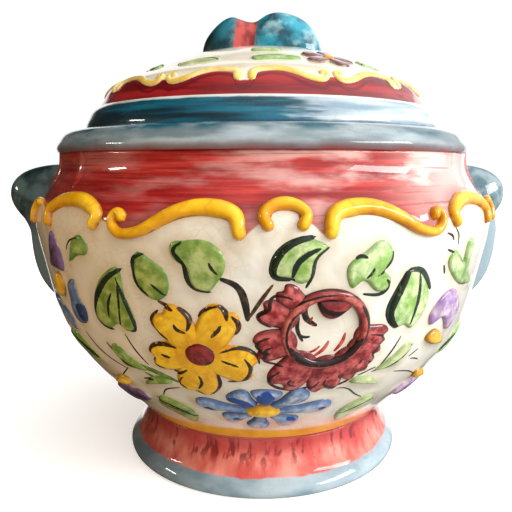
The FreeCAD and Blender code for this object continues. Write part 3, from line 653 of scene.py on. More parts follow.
def raised_band(wall, spine, half, relief, around=20, fullness=0.8, ground=None):
    """Skin of a band: rings across a spine of (azimuth, distance) places. Each ring is half an ellipse,
    as wide as the band there and as high as the relief, and its lower half is flat and sunk. The ground
    gives the height of the surface it lies on, where that isn't the bare wall."""
    radius = wall.read(wall.line, spine[:, 1])[0]
    flat = np.column_stack([np.radians(spine[:, 0]) * radius.mean(), spine[:, 1]])
    along = np.gradient(flat, axis=0)
    along /= np.linalg.norm(along, axis=1)[:, None]
    travelled = np.concatenate([[0.0], np.cumsum(np.linalg.norm(np.diff(flat, axis=0), axis=1))])
    to_end = np.minimum(travelled, travelled[-1] - travelled)
    closing = np.sqrt(np.clip(1.0 - (1.0 - np.minimum(to_end / half, 1.0)) ** 2, CLOSED_END, 1.0))
    turn = np.linspace(0.0, 2 * math.pi, around, endpoint=False)
    aside = (half * closing)[:, None] * np.cos(turn)
    rise = np.where(turn <= math.pi, np.abs(np.sin(turn)) ** fullness, 0.0)
    sink = np.where(turn > math.pi, min(SUNK, 4 * relief), 0.0)
    lift = (relief * closing)[:, None] * rise - sink
    azimuth = spine[:, :1] + np.degrees(-along[:, 1:] * aside / radius[:, None])
    distance = spine[:, 1:] + along[:, :1] * aside
    if ground:
        lift = lift + ground(azimuth, distance)
    # the share along the band is its lit share: painted shade at the band's start, painted light at its end
    paint = {"edge": half[:, None] * (1.0 - np.abs(np.cos(turn))), "brush": np.full(aside.shape, FAR),
             "lit_share": np.repeat((travelled / travelled[-1])[:, None], around, axis=1)}
    return skin(wall.on(azimuth, distance, lift), paint)


def scroll_spine(wall, path, widths, place, scale=1.0, count=110):
    """Spine and half widths of a drawn scroll, pressed onto the wall. The drawing runs on past both ends
    by the half width there, where the band closes to its round end."""
    drawn = np.array(path, float)
    half = np.array(widths, float)
    first = drawn[0] - (drawn[1] - drawn[0]) / np.linalg.norm(drawn[1] - drawn[0]) * half[0]
    last = drawn[-1] + (drawn[-1] - drawn[-2]) / np.linalg.norm(drawn[-1] - drawn[-2]) * half[-1]
    drawn = np.vstack([first, drawn, last]) * scale
    half = np.concatenate([half[:1], half, half[-1:]]) * scale
    line = smooth_line(drawn, count)
    marks = np.concatenate([[0.0], np.cumsum(np.linalg.norm(np.diff(drawn, axis=0), axis=1))])
    spread = np.interp(np.linspace(0.0, marks[-1], count), marks, half)
    return wall.press(line, place), spread


trial_spine = scroll_spine(bowl, ((0, 0), (10, 0)), (2, 2), (0, 90))[0]
print("a roll of 14 mm spans", round(float(np.ptp(trial_spine[:, 0])), 2), "degrees of the belly")

# %% [markdown]
# ## Leaves
# Drawings of the leaves, each about its own middle, and where they lie: azimuth from the panel's middle
# and millimetres up the wall. They are the moulds' outlines. The strokes that the painter put on each
# leaf follow, thick on the shaded side and thin on the other.

# %% Drawings of the leaves
HEART_LEFT = (
    (7.2, 13.2), (0.5, 10.8), (-5.5, 5.2), (-9.4, -1.6), (-10.2, -7.8), (-6.6, -12.4), (-2, -12.6),
    (1.5, -10.4), (5.4, -12.8), (9.8, -11.2), (9.8, -3.2), (8, 5))
HEART_RIGHT = (
    (-4.4, 12.2), (0.4, 11.8), (4.8, 8), (8.4, 3), (9, -4), (5.8, -10), (2, -12.6), (-1, -10.6),
    (-4.8, -11.4), (-8.8, -8.4), (-9.8, -0.4), (-7.4, 6.4))
HEART_TOP = (
    (-9, 7.6), (-5, 8.4), (1, 9), (6.6, 7), (9.6, 2.6), (9.2, -2.2), (6.4, -6.6), (2.8, -10),
    (-1.2, -9.2), (-3.2, -5.6), (-4.4, -1.2), (-7.6, 1), (-9.8, 4))
CURLED_TOP = (
    (-8.7, -2.2), (-7, 2.6), (-3, 6.6), (3, 8.8), (7.4, 7), (10.6, 5), (8, 1.8), (6.6, -1.6), (5.6, -5.8),
    (2.6, -8), (-1, -7), (-3.4, -5.8), (-7.2, -5.8))
SLANTED_LEFT = (
    (-4.2, 9.2), (1.4, 7), (6, 3.6), (7.4, -1), (6.2, -6), (2, -8.8), (-2.6, -7.2), (-6.4, -3), (-7, 1.6),
    (-5.4, 5.2))
TREFOIL = (
    (-1.4, 7.6), (2.6, 10), (7, 8.2), (8, 3), (6, -1.4), (9, -4.2), (8.2, -8.2), (4, -9.2), (0.2, -6.2),
    (-3, -4.6), (-5.8, -7.2), (-8.8, -3), (-8.4, 2.4), (-5.4, 4.8))
SMALL_LEFT = ((-7.4, -6.6), (-5.8, -3), (-3.9, 1), (0, 4.6), (4.8, 4), (7, 0), (4.6, -2.6), (-1, -3.6))
FORKED_RIGHT = (
    (-13, 3.6), (-9.6, 6.4), (-5, 3), (-1.2, 0.6), (0.2, 9.4), (3.6, 10.2), (5, 1), (9.4, -6),
    (14.6, -10), (6, -10.4), (-2, -8), (-8, -4))
SLENDER_UPPER = (
    (-7.6, 4.8), (-5.2, 6.2), (0.9, 1.6), (6, -2.6), (7.4, -5), (2.5, -5), (-2.7, -4.5), (-5.6, -0.5))
SLENDER_LOWER = ((-7.6, -3.6), (-3.5, -2.8), (2.8, -0.8), (7.4, 1.2), (5.8, 3.1), (-0.5, 3.3), (-4, 0.8))
LOW_LEAF = (
    (-3.6, 8.6), (1.6, 7), (6.6, 2.4), (8, -3), (6.6, -8.6), (4.6, -11.4), (0, -8), (-5, -3.6), (-8, 1),
    (-7, 5.6))
SIDE_LEAF = ((-12.4, 4.4), (-8, 6.8), (0, 4), (6, -1), (9.4, -5.4), (3, -5.4), (-5, -2.2), (-10, 1))


def mirrored(outline):
    """The same drawing, left for right."""
    return tuple((-a, b) for a, b in outline)


LEAF_RELIEF = 1.6
# node: (azimuth, millimetres up the wall, outline) of each leaf in it, and its lit share: painted shade
# at 0, painted light at 1, paler still above
LEAVES = {
    "leaf_heart_left": ([(-36, 85.8, HEART_LEFT)], 0),
    "leaf_heart_right": ([(27, 85.8, HEART_RIGHT)], 0.95),
    "leaf_heart_top": ([(-15.5, 101.8, HEART_TOP)], 0.35),
    "leaf_curled_top": ([(2, 103.3, CURLED_TOP)], 0.65),
    "leaf_slanted_left": ([(-25.2, 96.3, SLANTED_LEFT)], 0.15),
    "leaf_trefoil": ([(16, 99.8, TREFOIL)], 0.9),
    "leaf_small_left": ([(-43, 104.8, SMALL_LEFT)], 0.2),
    "leaf_forked_right": ([(43, 96.8, FORKED_RIGHT)], 1.2),
    "leaf_slender_left": ([(-35.5, 59.3, SLENDER_UPPER), (-29.7, 48.6, SLENDER_LOWER)], 0.15),
    "leaf_slender_right": ([(26.5, 60.3, mirrored(SLENDER_UPPER)),
                            (20.7, 49.6, mirrored(SLENDER_LOWER))], 1.45),
    "leaf_low_left": ([(-29.3, 28.8, LOW_LEAF)], 0.2),
    "leaf_low_right": ([(24, 28.8, mirrored(LOW_LEAF))], 1.4),
    "leaf_side_left": ([(-53, 57.8, SIDE_LEAF)], 0.1),
    "leaf_side_right": ([(53, 57.8, mirrored(SIDE_LEAF))], 1.2),
}
print(len(LEAVES), "leaf nodes")

# %% The painter's strokes on the leaves
LEAF_STROKES = {
    "leaf_heart_left": [
        (2.4, [(-27.1, 101), (-30.5, 97.6), (-33.7, 92), (-36.4, 85.5), (-37.3, 80), (-35.9, 75.8),
               (-32.7, 74.6)]),
        (1.1, [(-28.8, 97.6), (-28, 90), (-26.9, 83), (-26.5, 78), (-27.2, 75.5), (-29.2, 76)]),
        (1.1, [(-30.6, 91), (-32.1, 86), (-32.7, 80.5)]),
        (0.9, [(-28.7, 95), (-29.1, 88), (-30.1, 77)]),
    ],
    "leaf_slanted_left": [
        (1.8, [(-21.7, 107.2), (-23.7, 106), (-24.4, 101), (-24, 96), (-21.7, 91.6)]),
        (1, [(-20.8, 96.5), (-18.1, 92)]),
    ],
    "leaf_heart_top": [
        (1.7, [(-14.2, 111.8), (-15.7, 109.2), (-14.3, 105.2), (-13.7, 99), (-11.7, 94.8), (-9.1, 94.2)]),
        (1, [(-9.3, 105.5), (-8.7, 103), (-7.8, 101)]),
    ],
    "leaf_curled_top": [
        (2.5, [(9.3, 114), (5.7, 112.4), (2.9, 108.4), (1.9, 104), (2.6, 99.8), (5.5, 99.2)]),
        (1.4, [(11.8, 110.5), (9.6, 107), (8.9, 101), (7.8, 95.6)]),
        (1.9, [(9.9, 110), (7.2, 107.5), (5.3, 100.3)]),
    ],
    "leaf_trefoil": [
        (1.1, [(16.7, 106), (17.7, 106.9), (18.9, 106.3)]),
        (1.1, [(24.3, 108), (24.1, 104), (21.5, 99.4)]),
        (1.4, [(23.4, 97.8), (24.4, 95.6), (23.2, 92), (19, 92.4)]),
        (1, [(20.4, 102.5), (19.9, 100.4), (19.1, 98.8)]),
    ],
    "leaf_heart_right": [
        (3, [(28.7, 100.2), (27.7, 95), (26.4, 89), (25.8, 85), (26.7, 80), (28.7, 76.6)]),
        (2.2, [(28.7, 100.2), (31.2, 100), (33.7, 97), (36.3, 90.6)]),
        (1.5, [(31.5, 98.5), (32.2, 92), (31.7, 78)]),
    ],
    "leaf_small_left": [(0.7, [(-43.6, 105), (-41.1, 109.5), (-37.6, 110.9)])],
    "leaf_forked_right": [(0.9, [(39.3, 106), (41.9, 104.4)]), (0.9, [(39.1, 100), (40.1, 96)])],
    "leaf_slender_left": [
        (1.1, [(-37.6, 67), (-33.1, 60.4), (-28.7, 56.6)]),
        (0.8, [(-30.1, 50.5), (-26.1, 52.8)]),
    ],
    "leaf_slender_right": [
        (0.8, [(25.3, 56.6), (30.3, 60), (35.3, 67.6)]),
        (0.8, [(20.7, 52.8), (27.7, 49)]),
    ],
    "leaf_low_left": [
        (1.2, [(-30.6, 37.4), (-25.1, 33.6), (-19.6, 26)]),
        (0.8, [(-29.1, 34.5), (-23.1, 30)]),
    ],
    "leaf_low_right": [(0.8, [(31.7, 37.5), (26.7, 32.5), (22.5, 28)])],
    "leaf_side_left": [(1.3, [(-55.1, 66), (-49.1, 62), (-44.1, 56)])],
    "leaf_side_right": [(0.8, [(62.7, 66), (56.7, 62), (51.7, 56)])],
}


def leaf_skins(node):
    """Every leaf of a node, pressed on and painted."""
    places, lit_share = LEAVES[node]
    return [sprig(outline, (azimuth, distance), LEAF_RELIEF, LEAF_STROKES.get(node, ()), lit_share)
            for azimuth, distance, outline in places]


leaves = {node: leaf_skins(node) for node in LEAVES}
print(sum(len(parts) for parts in leaves.values()), "leaves shaped")

# %% [markdown]
# ## Leaf glaze
# Copper green runs from a deep bottle green where it pooled to a thin yellow green. Painted shade makes
# the leaves on the left olive and dim, and painted light makes those on the right fresh and pale. The
# colour stops a little short of the pressed edge here and there, so the pale clay slip shows as a rim.
# One recipe serves every brushed sprig: only its washes differ.

# %% One recipe for all brushed sprigs
CREAM = (233, 222, 198)


def brushed_glaze(name, shadow, light, deep, line, size=5.0, rim=CREAM, rim_width=0.35, ragged=0.28,
                  edging=0.6):
    """Two washes by cloud, shaded and lit by painted light, deep pools, fine dark lines where two clouds
    meet, darker towards the edge, a bare rim, and brush strokes on top. shadow and light are each a pair
    of colours for painted shade and painted light: where the wash is thicker and where it is thinner. The
    painted lit share picks between them, and above 1 it fades towards cream."""
    glaze = Recipe(name)
    cream, deep, line, rim = (wash(*colour) for colour in (CREAM, deep, line, rim))
    thin = glaze.blotches(size, 0.36, 0.64, detail=5.0)
    dim, lit = (glaze.mix(thin, wash(*thicker), wash(*thinner)) for thicker, thinner in (shadow, light))
    # painted shade and painted light: the lit share picks the shadow washes at 0 and the light ones at 1
    shade = glaze.painted("lit_share")
    colour = glaze.mix(glaze.between(shade, 0.0, 1.0), dim, lit)
    colour = glaze.mix(glaze.between(shade, 1.0, 2.0), colour, cream)
    pools = glaze.blotches(size * 1.6, 0.52, 0.74, (1, 1, 0.5), 5.0, shift=5.0)
    colour = glaze.laid(colour, deep, pools, 0.7)
    bristle = glaze.math("ABSOLUTE", glaze.math("SUBTRACT", glaze.cloud(size * 1.4, shift=11.0), 0.5))
    colour = glaze.laid(colour, deep, glaze.between(bristle, 0.045, 0.0), 0.3)
    edge = glaze.wobbled(glaze.painted("edge"), 5.0, 0.9, shift=2.0)
    colour = glaze.laid(colour, deep, glaze.between(edge, 2.0, 0.5), edging)
    colour = glaze.crackled(colour, 0.12)
    colour = glaze.mix(glaze.between(edge, rim_width, rim_width - 0.4), colour, rim)
    brush = glaze.wobbled(glaze.painted("brush"), 1.6, ragged, shift=9.0)
    share = glaze.between(brush, 0.14, -0.14)
    dry = glaze.scaled(glaze.blotches(2.2, 0.28, 0.42, shift=4.0), 0.8, 1.0)
    colour = glaze.mix(glaze.math("MULTIPLY", share, dry), colour, line)
    return glaze.finish(colour)


leaf_glaze = brushed_glaze(
    "leaf_green", ((106, 124, 42), (162, 170, 88)), ((136, 180, 88), (198, 218, 164)), (66, 116, 42),
    (10, 32, 20), rim=(206, 208, 160), rim_width=0.1, edging=0.45)
for node, parts in leaves.items():
    make_piece(node.replace("leaf_", "painted_leaf_"), parts, leaf_glaze, "pot", [node])

# %% [markdown]
# ## The yellow flower
# Five fat petals with a nick at the tip, laid round a raised red eye. A petal is drawn once, as shares of
# its length and width, and turned to its heading, which is how one mould makes a whole flower.

# %% Petals and the yellow flower
# half the outline of a petal, as shares of its length and half width: a fat one, and one like a spoon
FAT_PETAL = ((0, 0.62), (0.35, 0.93), (0.65, 1), (0.88, 0.84), (0.99, 0.4))
SPOON_PETAL = ((0, 0.3), (0.3, 0.6), (0.6, 0.92), (0.8, 1), (0.95, 0.66))


def petal(start, reach, width, heading, notch=0.0, half=FAT_PETAL):
    """Outline of a petal from one radius to another about a flower's middle, pointing to a heading."""
    shares = [*((along, -side) for along, side in half), (1.0 - notch, 0.0)]
    shares += [(along, side) for along, side in reversed(half)]
    along, side = np.array(shares).T
    a = start + along * (reach - start)
    b = side * width / 2
    turn = math.radians(heading)
    return np.column_stack([a * math.cos(turn) - b * math.sin(turn),
                            a * math.sin(turn) + b * math.cos(turn)])


def oval(width, height, points=12):
    """Outline of an oval about its own middle."""
    turn = np.linspace(0.0, 2 * math.pi, points, endpoint=False)
    return np.column_stack([width / 2 * np.cos(turn), height / 2 * np.sin(turn)])


PETAL_RELIEF = 2.0
EYE_RELIEF = 3.0
YELLOW_FLOWER_AT = (-16.5, 67.1)
YELLOW_EYE = (12.4, 11.0)
# how far each petal reaches from the flower's middle, its width and its heading
YELLOW_PETALS = ((22, 15.4, 130), (22, 14.6, 59), (20.8, 16.6, -20), (22, 17, -103), (21.5, 13.4, 193))
YELLOW_STROKES = [
    (1.4, [(-20.3, 86), (-22.2, 82), (-21.4, 78.4), (-19, 75)]),
    (1.4, [(-20.2, 89.6), (-19, 88.6), (-17, 86.8)]),
    (1.6, [(-16, 87.8), (-14.1, 84.5), (-14.5, 79.3)]),
    (1.2, [(-17, 81.5), (-16.4, 79.4), (-14.8, 78.4)]),
    (1, [(-12.2, 84.5), (-10.8, 87.5), (-8, 89.4)]),
    (1.6, [(-8, 89.4), (-6.9, 87), (-6.6, 84)]),
    (1.5, [(-5.6, 85.6), (-4.4, 81.5), (-5.2, 77.8)]),
    (1.3, [(-7.8, 82), (-8.4, 80), (-9.7, 77.4)]),
    (1, [(-8.4, 70.8), (-4, 72.6), (-1.4, 70), (-0.6, 65)]),
    (1.4, [(-3.5, 68.5), (-2.4, 64), (-3.2, 59.4), (-5.4, 56.4), (-7.7, 55.8)]),
    (1, [(-8.2, 67.5), (-6.6, 66.4), (-4.8, 65)]),
    (1.3, [(-9.6, 60), (-9.3, 55), (-10.8, 49.8), (-13.6, 46.8), (-16.2, 49.3)]),
    (0.9, [(-17.3, 58), (-18.6, 53), (-17.1, 51.4)]),
    (1.1, [(-13.5, 59.5), (-13.2, 56), (-14.5, 52)]),
    (1.2, [(-17.3, 71.5), (-20, 72.3), (-23.2, 70.7), (-23.8, 67)]),
    (1, [(-22.7, 66), (-23.7, 63), (-21.1, 61.2)]),
    (1.1, [(-20, 61), (-19, 59.3), (-15.8, 62)]),
    (1.2, [(-21, 68), (-20.2, 67.6), (-19, 67)]),
]


def flower_skins(at, petals, start, strokes, notch=0.0, half=FAT_PETAL, crown=0.3):
    """Petals of one flower. The lit share painted on each runs from the flower's middle to its tips, so the
    glaze gives painted shade at the middle and painted light at the tips.
    """
    parts = []
    for reach, width, heading in petals:
        outline = petal(start, reach, width, heading, notch, half)
        shape = lens(bowl, outline, on_panel(at), PETAL_RELIEF, 2.0, crown, 84, 18)
        along = np.clip(np.linalg.norm(shape["flat"], axis=-1) / reach, 0.0, 1.0)
        parts.append(applied(shape, strokes, along))
    return parts


yellow_glaze = brushed_glaze(
    "petal_yellow", ((206, 144, 8), (226, 172, 22)), ((222, 168, 12), (240, 196, 50)), (180, 112, 8),
    (44, 24, 12), size=6.0, rim=(214, 160, 40), rim_width=0.2, edging=0.7)
red_eye_glaze = brushed_glaze(
    "eye_red", ((84, 8, 16), (124, 24, 30)), ((112, 18, 26), (156, 52, 50)), (50, 4, 12), (28, 6, 10),
    size=3.0, rim=(196, 118, 80), rim_width=0.45, edging=0.9)
yellow_petals = flower_skins(YELLOW_FLOWER_AT, YELLOW_PETALS, 3.0, YELLOW_STROKES, notch=0.08)
yellow_eye = [sprig(oval(*YELLOW_EYE), YELLOW_FLOWER_AT, EYE_RELIEF, lit_share=0.5, rounding=2.6,
                    strokes=[(2.6, [(-14, 62.6), (-11.6, 63.6), (-10.6, 67)])])]
make_piece("sunny_petals", yellow_petals, yellow_glaze, "pot", ["yellow_flower_petals"])
make_piece("sunny_eye", yellow_eye, red_eye_glaze, "pot", ["yellow_flower_eye"])

# %% [markdown]
# ## The rose
# A raised ring opens on the bare ivory wall, with a bud hanging from its upper rim and ruffled petals
# crowding round its left and lower sides. The ring closes on itself, so its skin is looped both ways.

# %% The rose
ROSE_AT = (8.4, 76.8)
ROSE_OUTER = (33.4, 32.6)
ROSE_INNER = (25.0, 24.4)
RING_RELIEF = 2.6
ROSE_RUFFLES = (
    (24, 9, 136), (25.5, 10.5, 160), (26.2, 13.5, -163), (30, 16, -120), (30, 14, -84), (28, 13, -54),
    (26.5, 10, -32), (26, 9, -12))
BUD_HANGS = np.array([3.0, 8.8])
BUD = (
    (-7.2, 2.6), (-3, 3.6), (3.4, 3.8), (7.2, 3.2), (6.2, 0.6), (3, -2.6), (-0.6, -4.4), (-4.2, -3.4),
    (-6.4, -0.4))
RING_STROKES = [
    (3.2, [(5.4, 73), (7.2, 68.8), (9.6, 66.9), (13, 66.4), (16, 67.8), (18.2, 70.8), (19.8, 75)]),
    (1.6, [(20.2, 72.6), (21, 78), (20.4, 84), (18.8, 88.6)]),
    (0.8, [(4, 68), (2.6, 73), (2.4, 80), (4, 86.6), (7.4, 91.4), (12, 93.6), (17, 92.4)]),
    (0.9, [(5.6, 70.6), (4.6, 76), (4.9, 82), (6.6, 86.8), (9.4, 89.6)]),
    (1, [(17, 92.4), (20.6, 88.6), (22.6, 82.6), (22.6, 75), (20.2, 68)]),
]
RUFFLE_STROKES = [
    (1.1, [(5.4, 92.4), (3, 93.4), (1.4, 91.2), (1, 87.8), (-0.6, 86.2), (-0.4, 83.2), (1.8, 80.8)]),
    (1.2, [(1.4, 77.4), (-0.6, 75.6), (-0.8, 72.2), (0.6, 70.2), (0.2, 67.6), (1.8, 65.6), (4.4, 65)]),
    (1.3, [(3.6, 62.4), (1.6, 59), (2.6, 53.4), (6.8, 51), (10.8, 52.6), (12.2, 56.4)]),
    (1.2, [(13.6, 57.6), (14.2, 53.4), (17.6, 52), (20, 54.4), (20.4, 58.6)]),
    (1.1, [(19, 59), (22.6, 60.8), (24.4, 64.6), (23.4, 68), (25.6, 71.6), (24.4, 75.4), (21.8, 76.4)]),
    (0.9, [(2, 73.6), (0.6, 72), (1.6, 70.2)]),
    (0.9, [(6, 58.4), (5.6, 56), (7.4, 54.6)]),
    (0.9, [(16.6, 58.6), (17.4, 56.4)]),
    (0.9, [(21.4, 66), (20.6, 63.6)]),
]


def ring_skin(wall, place, outer, inner, relief, strokes, columns=150):
    """Skin of an oval ring: its rings of points run round the oval's middle line, and every one is half an
    ellipse across it, closed below."""
    middle_a, middle_b = (outer[0] + inner[0]) / 4, (outer[1] + inner[1]) / 4
    half = (outer[0] - inner[0]) / 4
    turn = np.linspace(0.0, 2 * math.pi, columns, endpoint=False)[:, None]
    section = np.linspace(0.0, 2 * math.pi, 26, endpoint=False)
    aside = half * np.cos(section)
    flat = np.stack([(middle_a + aside) * np.cos(turn), (middle_b + aside) * np.sin(turn)], axis=-1)
    lift = relief * np.where(section <= math.pi, np.abs(np.sin(section)) ** 0.7, 0.0)
    lift = lift - np.where(section > math.pi, SUNK, 0.0) + 0 * turn
    places = wall.press(flat, place)
    shape = {"azimuth": places[..., 0], "distance": places[..., 1]}
    paint = {"edge": half * (1.0 - np.abs(np.cos(section))) + 0 * turn, "lit_share": 0.5 + 0 * lift,
             "brush": brush_gap(wall, shape, strokes)}
    return skin(wall.on(places[..., 0], places[..., 1], lift), paint, looped=True)


rose_place = on_panel(ROSE_AT)
rose_ring = [ring_skin(bowl, rose_place, ROSE_OUTER, ROSE_INNER, RING_RELIEF, RING_STROKES)]
rose_ruffles = flower_skins(ROSE_AT, ROSE_RUFFLES, 12.0, RUFFLE_STROKES, notch=0.10, crown=0.45)
rose_bud = [sprig(BUD + BUD_HANGS, ROSE_AT, PETAL_RELIEF, lit_share=0.3,
                  strokes=[(1.8, [(10.4, 90.6), (12.6, 86.6), (15.4, 86), (18, 89)]),
                           (1, [(12.4, 92.4), (14, 93.8), (16.6, 93.4)])])]
for rim in (ROSE_OUTER, ROSE_INNER):
    wall_edges.append(bowl.press(closed(oval(*rim, points=60)), rose_place))
ring_glaze = brushed_glaze(
    "ring_salmon", ((150, 50, 46), (196, 104, 94)), ((160, 56, 52), (204, 118, 106)), (96, 20, 26),
    (26, 8, 8), size=4.0, rim=(64, 18, 18), rim_width=0.45, edging=0.6)
ruffle_glaze = brushed_glaze(
    "ruffle_crimson", ((84, 4, 16), (144, 30, 38)), ((136, 20, 32), (202, 104, 100)), (74, 4, 16),
    (30, 6, 10), size=3.2, rim=(96, 12, 22), rim_width=0.35, edging=0.7)
make_piece("rose_rim", rose_ring, ring_glaze, "pot", ["rose_ring"])
make_piece("rose_frill", rose_ruffles, ruffle_glaze, "pot", ["rose_ruffles"])
make_piece("rose_heart", rose_bud, ruffle_glaze, "pot", ["rose_bud"])

# %% [markdown]
# ## The blue flower
# Eight petals like spoons in a cobalt wash that runs from grey blue to deep blue, deepest near the middle of
# the upper petals and in a spot towards the tips of the others, round a yellow eye.

# %% The blue flower
BLUE_FLOWER_AT = (-3.8, 34.6)
BLUE_EYE = (14.7, 8.5)
BLUE_PETALS = (
    (15, 12.6, 84), (17.4, 10.6, 135), (27, 8.8, 177), (18.8, 8.8, 213), (17.4, 9.6, 262),
    (18.4, 10, 313), (27.5, 9, 358), (21, 9.4, 36))
BLUE_STROKES = [
    (6.6, [(0.2, 41.5), (0.8, 49.5)]),
    (5.2, [(-3, 41), (-7.4, 46)]),
    (2.2, [(-12.6, 37.6), (-14.8, 38.2)]),
    (1.6, [(-6.4, 31.6), (-7.8, 29.8)]),
    (1.8, [(1, 28), (1.2, 26.6)]),
    (2, [(7, 30.6), (9.2, 28.6)]),
    (1.9, [(14.6, 37.8), (16.4, 38)]),
    (1.6, [(8.4, 43.4), (12.4, 46.6)]),
]
blue_petals = flower_skins(BLUE_FLOWER_AT, BLUE_PETALS, 4.5, BLUE_STROKES, half=SPOON_PETAL)
blue_eye = [sprig(oval(*BLUE_EYE), BLUE_FLOWER_AT, EYE_RELIEF, lit_share=0.5, rounding=2.4,
                  strokes=[(1.3, [(-4.6, 34.4), (-1.4, 32), (2.2, 31.6), (6.2, 33.8)])])]
blue_glaze = brushed_glaze(
    "petal_blue", ((70, 108, 158), (126, 150, 182)), ((128, 154, 184), (190, 200, 212)), (46, 82, 138),
    (16, 64, 140), size=4.0, rim=(70, 90, 128), rim_width=0.5, ragged=0.9, edging=0.75)
yellow_eye_glaze = brushed_glaze(
    "eye_yellow", ((206, 152, 16), (230, 184, 44)), ((224, 172, 26), (242, 206, 80)), (170, 116, 14),
    (58, 42, 12), size=4.0, rim=(120, 92, 30), edging=0.7)
make_piece("cobalt_petals", blue_petals, blue_glaze, "pot", ["blue_flower_petals"])
make_piece("cobalt_flower_eye", blue_eye, yellow_eye_glaze, "pot", ["blue_flower_eye"])

# %% [markdown]
# ## Side buds
# Violet buds at both sides, each with a small yellow base, and a slate blue one on the left. The left ones
# are in the shade of the wall's curve, so their darker washes are painted shade.

# %% Buds and their bases
VIOLET_LEFT = (
    (0.2, 8.6), (4.4, 3.6), (6, -3.2), (4.4, -7.6), (-1.6, -7.8), (-8.2, -6.8), (-5.6, -1.8), (-3, 3.6))
VIOLET_RIGHT = (
    (-12, -2), (-9.6, 4), (-4, 8.2), (2.6, 8.6), (8.2, 4), (11.8, -2), (9, -8), (5, -10.4), (0.4, -5.6),
    (-5, -3), (-9.8, -5.4))
VIOLET_BASE_RIGHT = ((-8, 0), (-4, 3), (1, 1.6), (5.4, -2.4), (7, -5), (1.6, -5), (-4.4, -3.4))
BLUE_UPPER = (
    (-2.8, 8), (3, 9), (2.6, 4), (5.2, -1), (5.8, -5.4), (2.4, -9.8), (-2.4, -9.6), (-5, -4.4), (-3.8, 2))
BLUE_LOWER = ((-9, 6), (-5, 5), (2, 0), (7.4, -5.4), (6.4, -8.4), (1, -5), (-5, 0.4))
LOW_VIOLET = ((-10, 2), (-4, 4.6), (4, 5.6), (9, 4), (11.4, 0), (8, -4), (0, -6.4), (-7, -6), (-10.4, -2))
LOW_VIOLET_BASE = ((-6.4, -1.4), (-3, 1.4), (1, 3.4), (5.4, 2.2), (5.6, -0.2), (1, -1.8))
violet_glaze = brushed_glaze(
    "bud_violet", ((66, 44, 76), (110, 84, 112)), ((160, 124, 182), (208, 190, 208)), (112, 82, 130),
    (70, 48, 76), size=5.0, rim=(190, 165, 160), rim_width=0.3, edging=0.3)
slate_glaze = brushed_glaze(
    "bud_slate", ((84, 98, 118), (120, 132, 146)), ((96, 112, 140), (140, 150, 168)), (36, 62, 100),
    (26, 46, 84), size=5.0, rim=(150, 140, 120))
# node: (outline, azimuth, millimetres up, lit share of painted light), strokes, glaze, slot
BUDS = {
    "bud_violet_left": ([(VIOLET_LEFT, -53, 101.2, 0)], [], violet_glaze, "violet_glaze"),
    "bud_violet_right": ([(VIOLET_RIGHT, 40.5, 77.6, 0.9)], [], violet_glaze, "violet_glaze"),
    "bud_blue_left": ([(BLUE_UPPER, -48.4, 81.3, 0.4), (BLUE_LOWER, -56.4, 74.6, 0)],
                      [(5, [(-43, 82), (-41.5, 76)])], slate_glaze, "cobalt_glaze"),
    "bud_low_left": ([(LOW_VIOLET, -45, 32.6, 0.1)], [], violet_glaze, "violet_glaze"),
    "bud_low_right": ([(mirrored(LOW_VIOLET), 45, 32.6, 0.8)], [], violet_glaze, "violet_glaze"),
}
BUD_BASES = {
    "bud_base_left": (oval(7.6, 11.0), -54.6, 86.6),
    "bud_base_right": (VIOLET_BASE_RIGHT, 39.4, 66.6),
    "bud_low_base_left": (LOW_VIOLET_BASE, -43.4, 43.0),
    "bud_low_base_right": (mirrored(LOW_VIOLET_BASE), 43.4, 43.0),
}
buds = {}
for node, (places, strokes, glaze, slot_name) in BUDS.items():
    buds[node] = [sprig(outline, (azimuth, distance), PETAL_RELIEF, strokes, lit_share)
                  for outline, azimuth, distance, lit_share in places]
    make_piece(node.replace("bud_", "painted_bud_"), buds[node], glaze, "pot", [node])
bases = {}
for node, (outline, azimuth, distance) in BUD_BASES.items():
    bases[node] = [sprig(outline, (azimuth, distance), RING_RELIEF, lit_share=0.5)]
    make_piece(node.replace("bud_", "painted_bud_"), bases[node], yellow_eye_glaze, "pot",
               [node])

# %% [markdown]
# ## Scrolls under the shoulder
# A row of yellow scrolls divides the red shoulder from the ivory belly: a hook beside each lug, a corner
# scroll, a long one, and a small arch in the middle. Each is listed once, as a path and its half widths,
# and mirrored for the other side.

# %% The yellow scrolls
SCROLL_RELIEF = 2.9
LONG_SCROLL = (
    ((-20.6, 1), (-22, 2.4), (-24, 1), (-23.8, -2.2), (-21.2, -4.5), (-17.4, -5), (-11.6, -3.9),
    (-6, -1.2), (0, 2), (7.7, 4.4), (15.4, 4.4), (21.6, 1.8), (23.2, -3.2)),
    (2.1, 1.9, 1.8, 1.8, 1.9, 2, 2.1, 2.4, 2.8, 3.2, 3.4, 2.9, 2.4))
CORNER_SCROLL = (
    ((-17.6, -6), (-18.2, -2.8), (-13.5, 0.9), (-3.9, 2.9), (4.8, 2.5), (11.6, 0.2), (15.6, -3),
    (14.6, -5.4)), (2.2, 2.4, 2.9, 3.3, 3.3, 2.9, 2.5, 2.3))
CENTRE_SCROLL = (
    ((-6, -4), (-7.2, -1.3), (-4.8, 2), (0, 3.4), (4.8, 2), (7.2, -1.3), (6, -4)),
    (2.2, 2.1, 2.3, 2.6, 2.3, 2.1, 2.2))
HOOK_SCROLL = (((-2.6, -5), (-3.6, -1), (-0.6, 2.8), (3.4, 2.6)), (1.8, 1.9, 1.9, 1.7))
# node: azimuth and distance of each scroll, its drawing, and whether it is mirrored
SCROLLS = {
    "scroll_centre": [(0, 119.8, CENTRE_SCROLL, False)],
    "scroll_long_left": [(-20, 117.3, LONG_SCROLL, False)],
    "scroll_long_right": [(20, 117.3, LONG_SCROLL, True)],
    "scroll_corner_left": [(-45, 120.3, CORNER_SCROLL, False)],
    "scroll_corner_right": [(45, 120.3, CORNER_SCROLL, True)],
    "scroll_hooks": [(-66, 117.3, HOOK_SCROLL, False), (66, 117.3, HOOK_SCROLL, True)],
}
scroll_spines = []


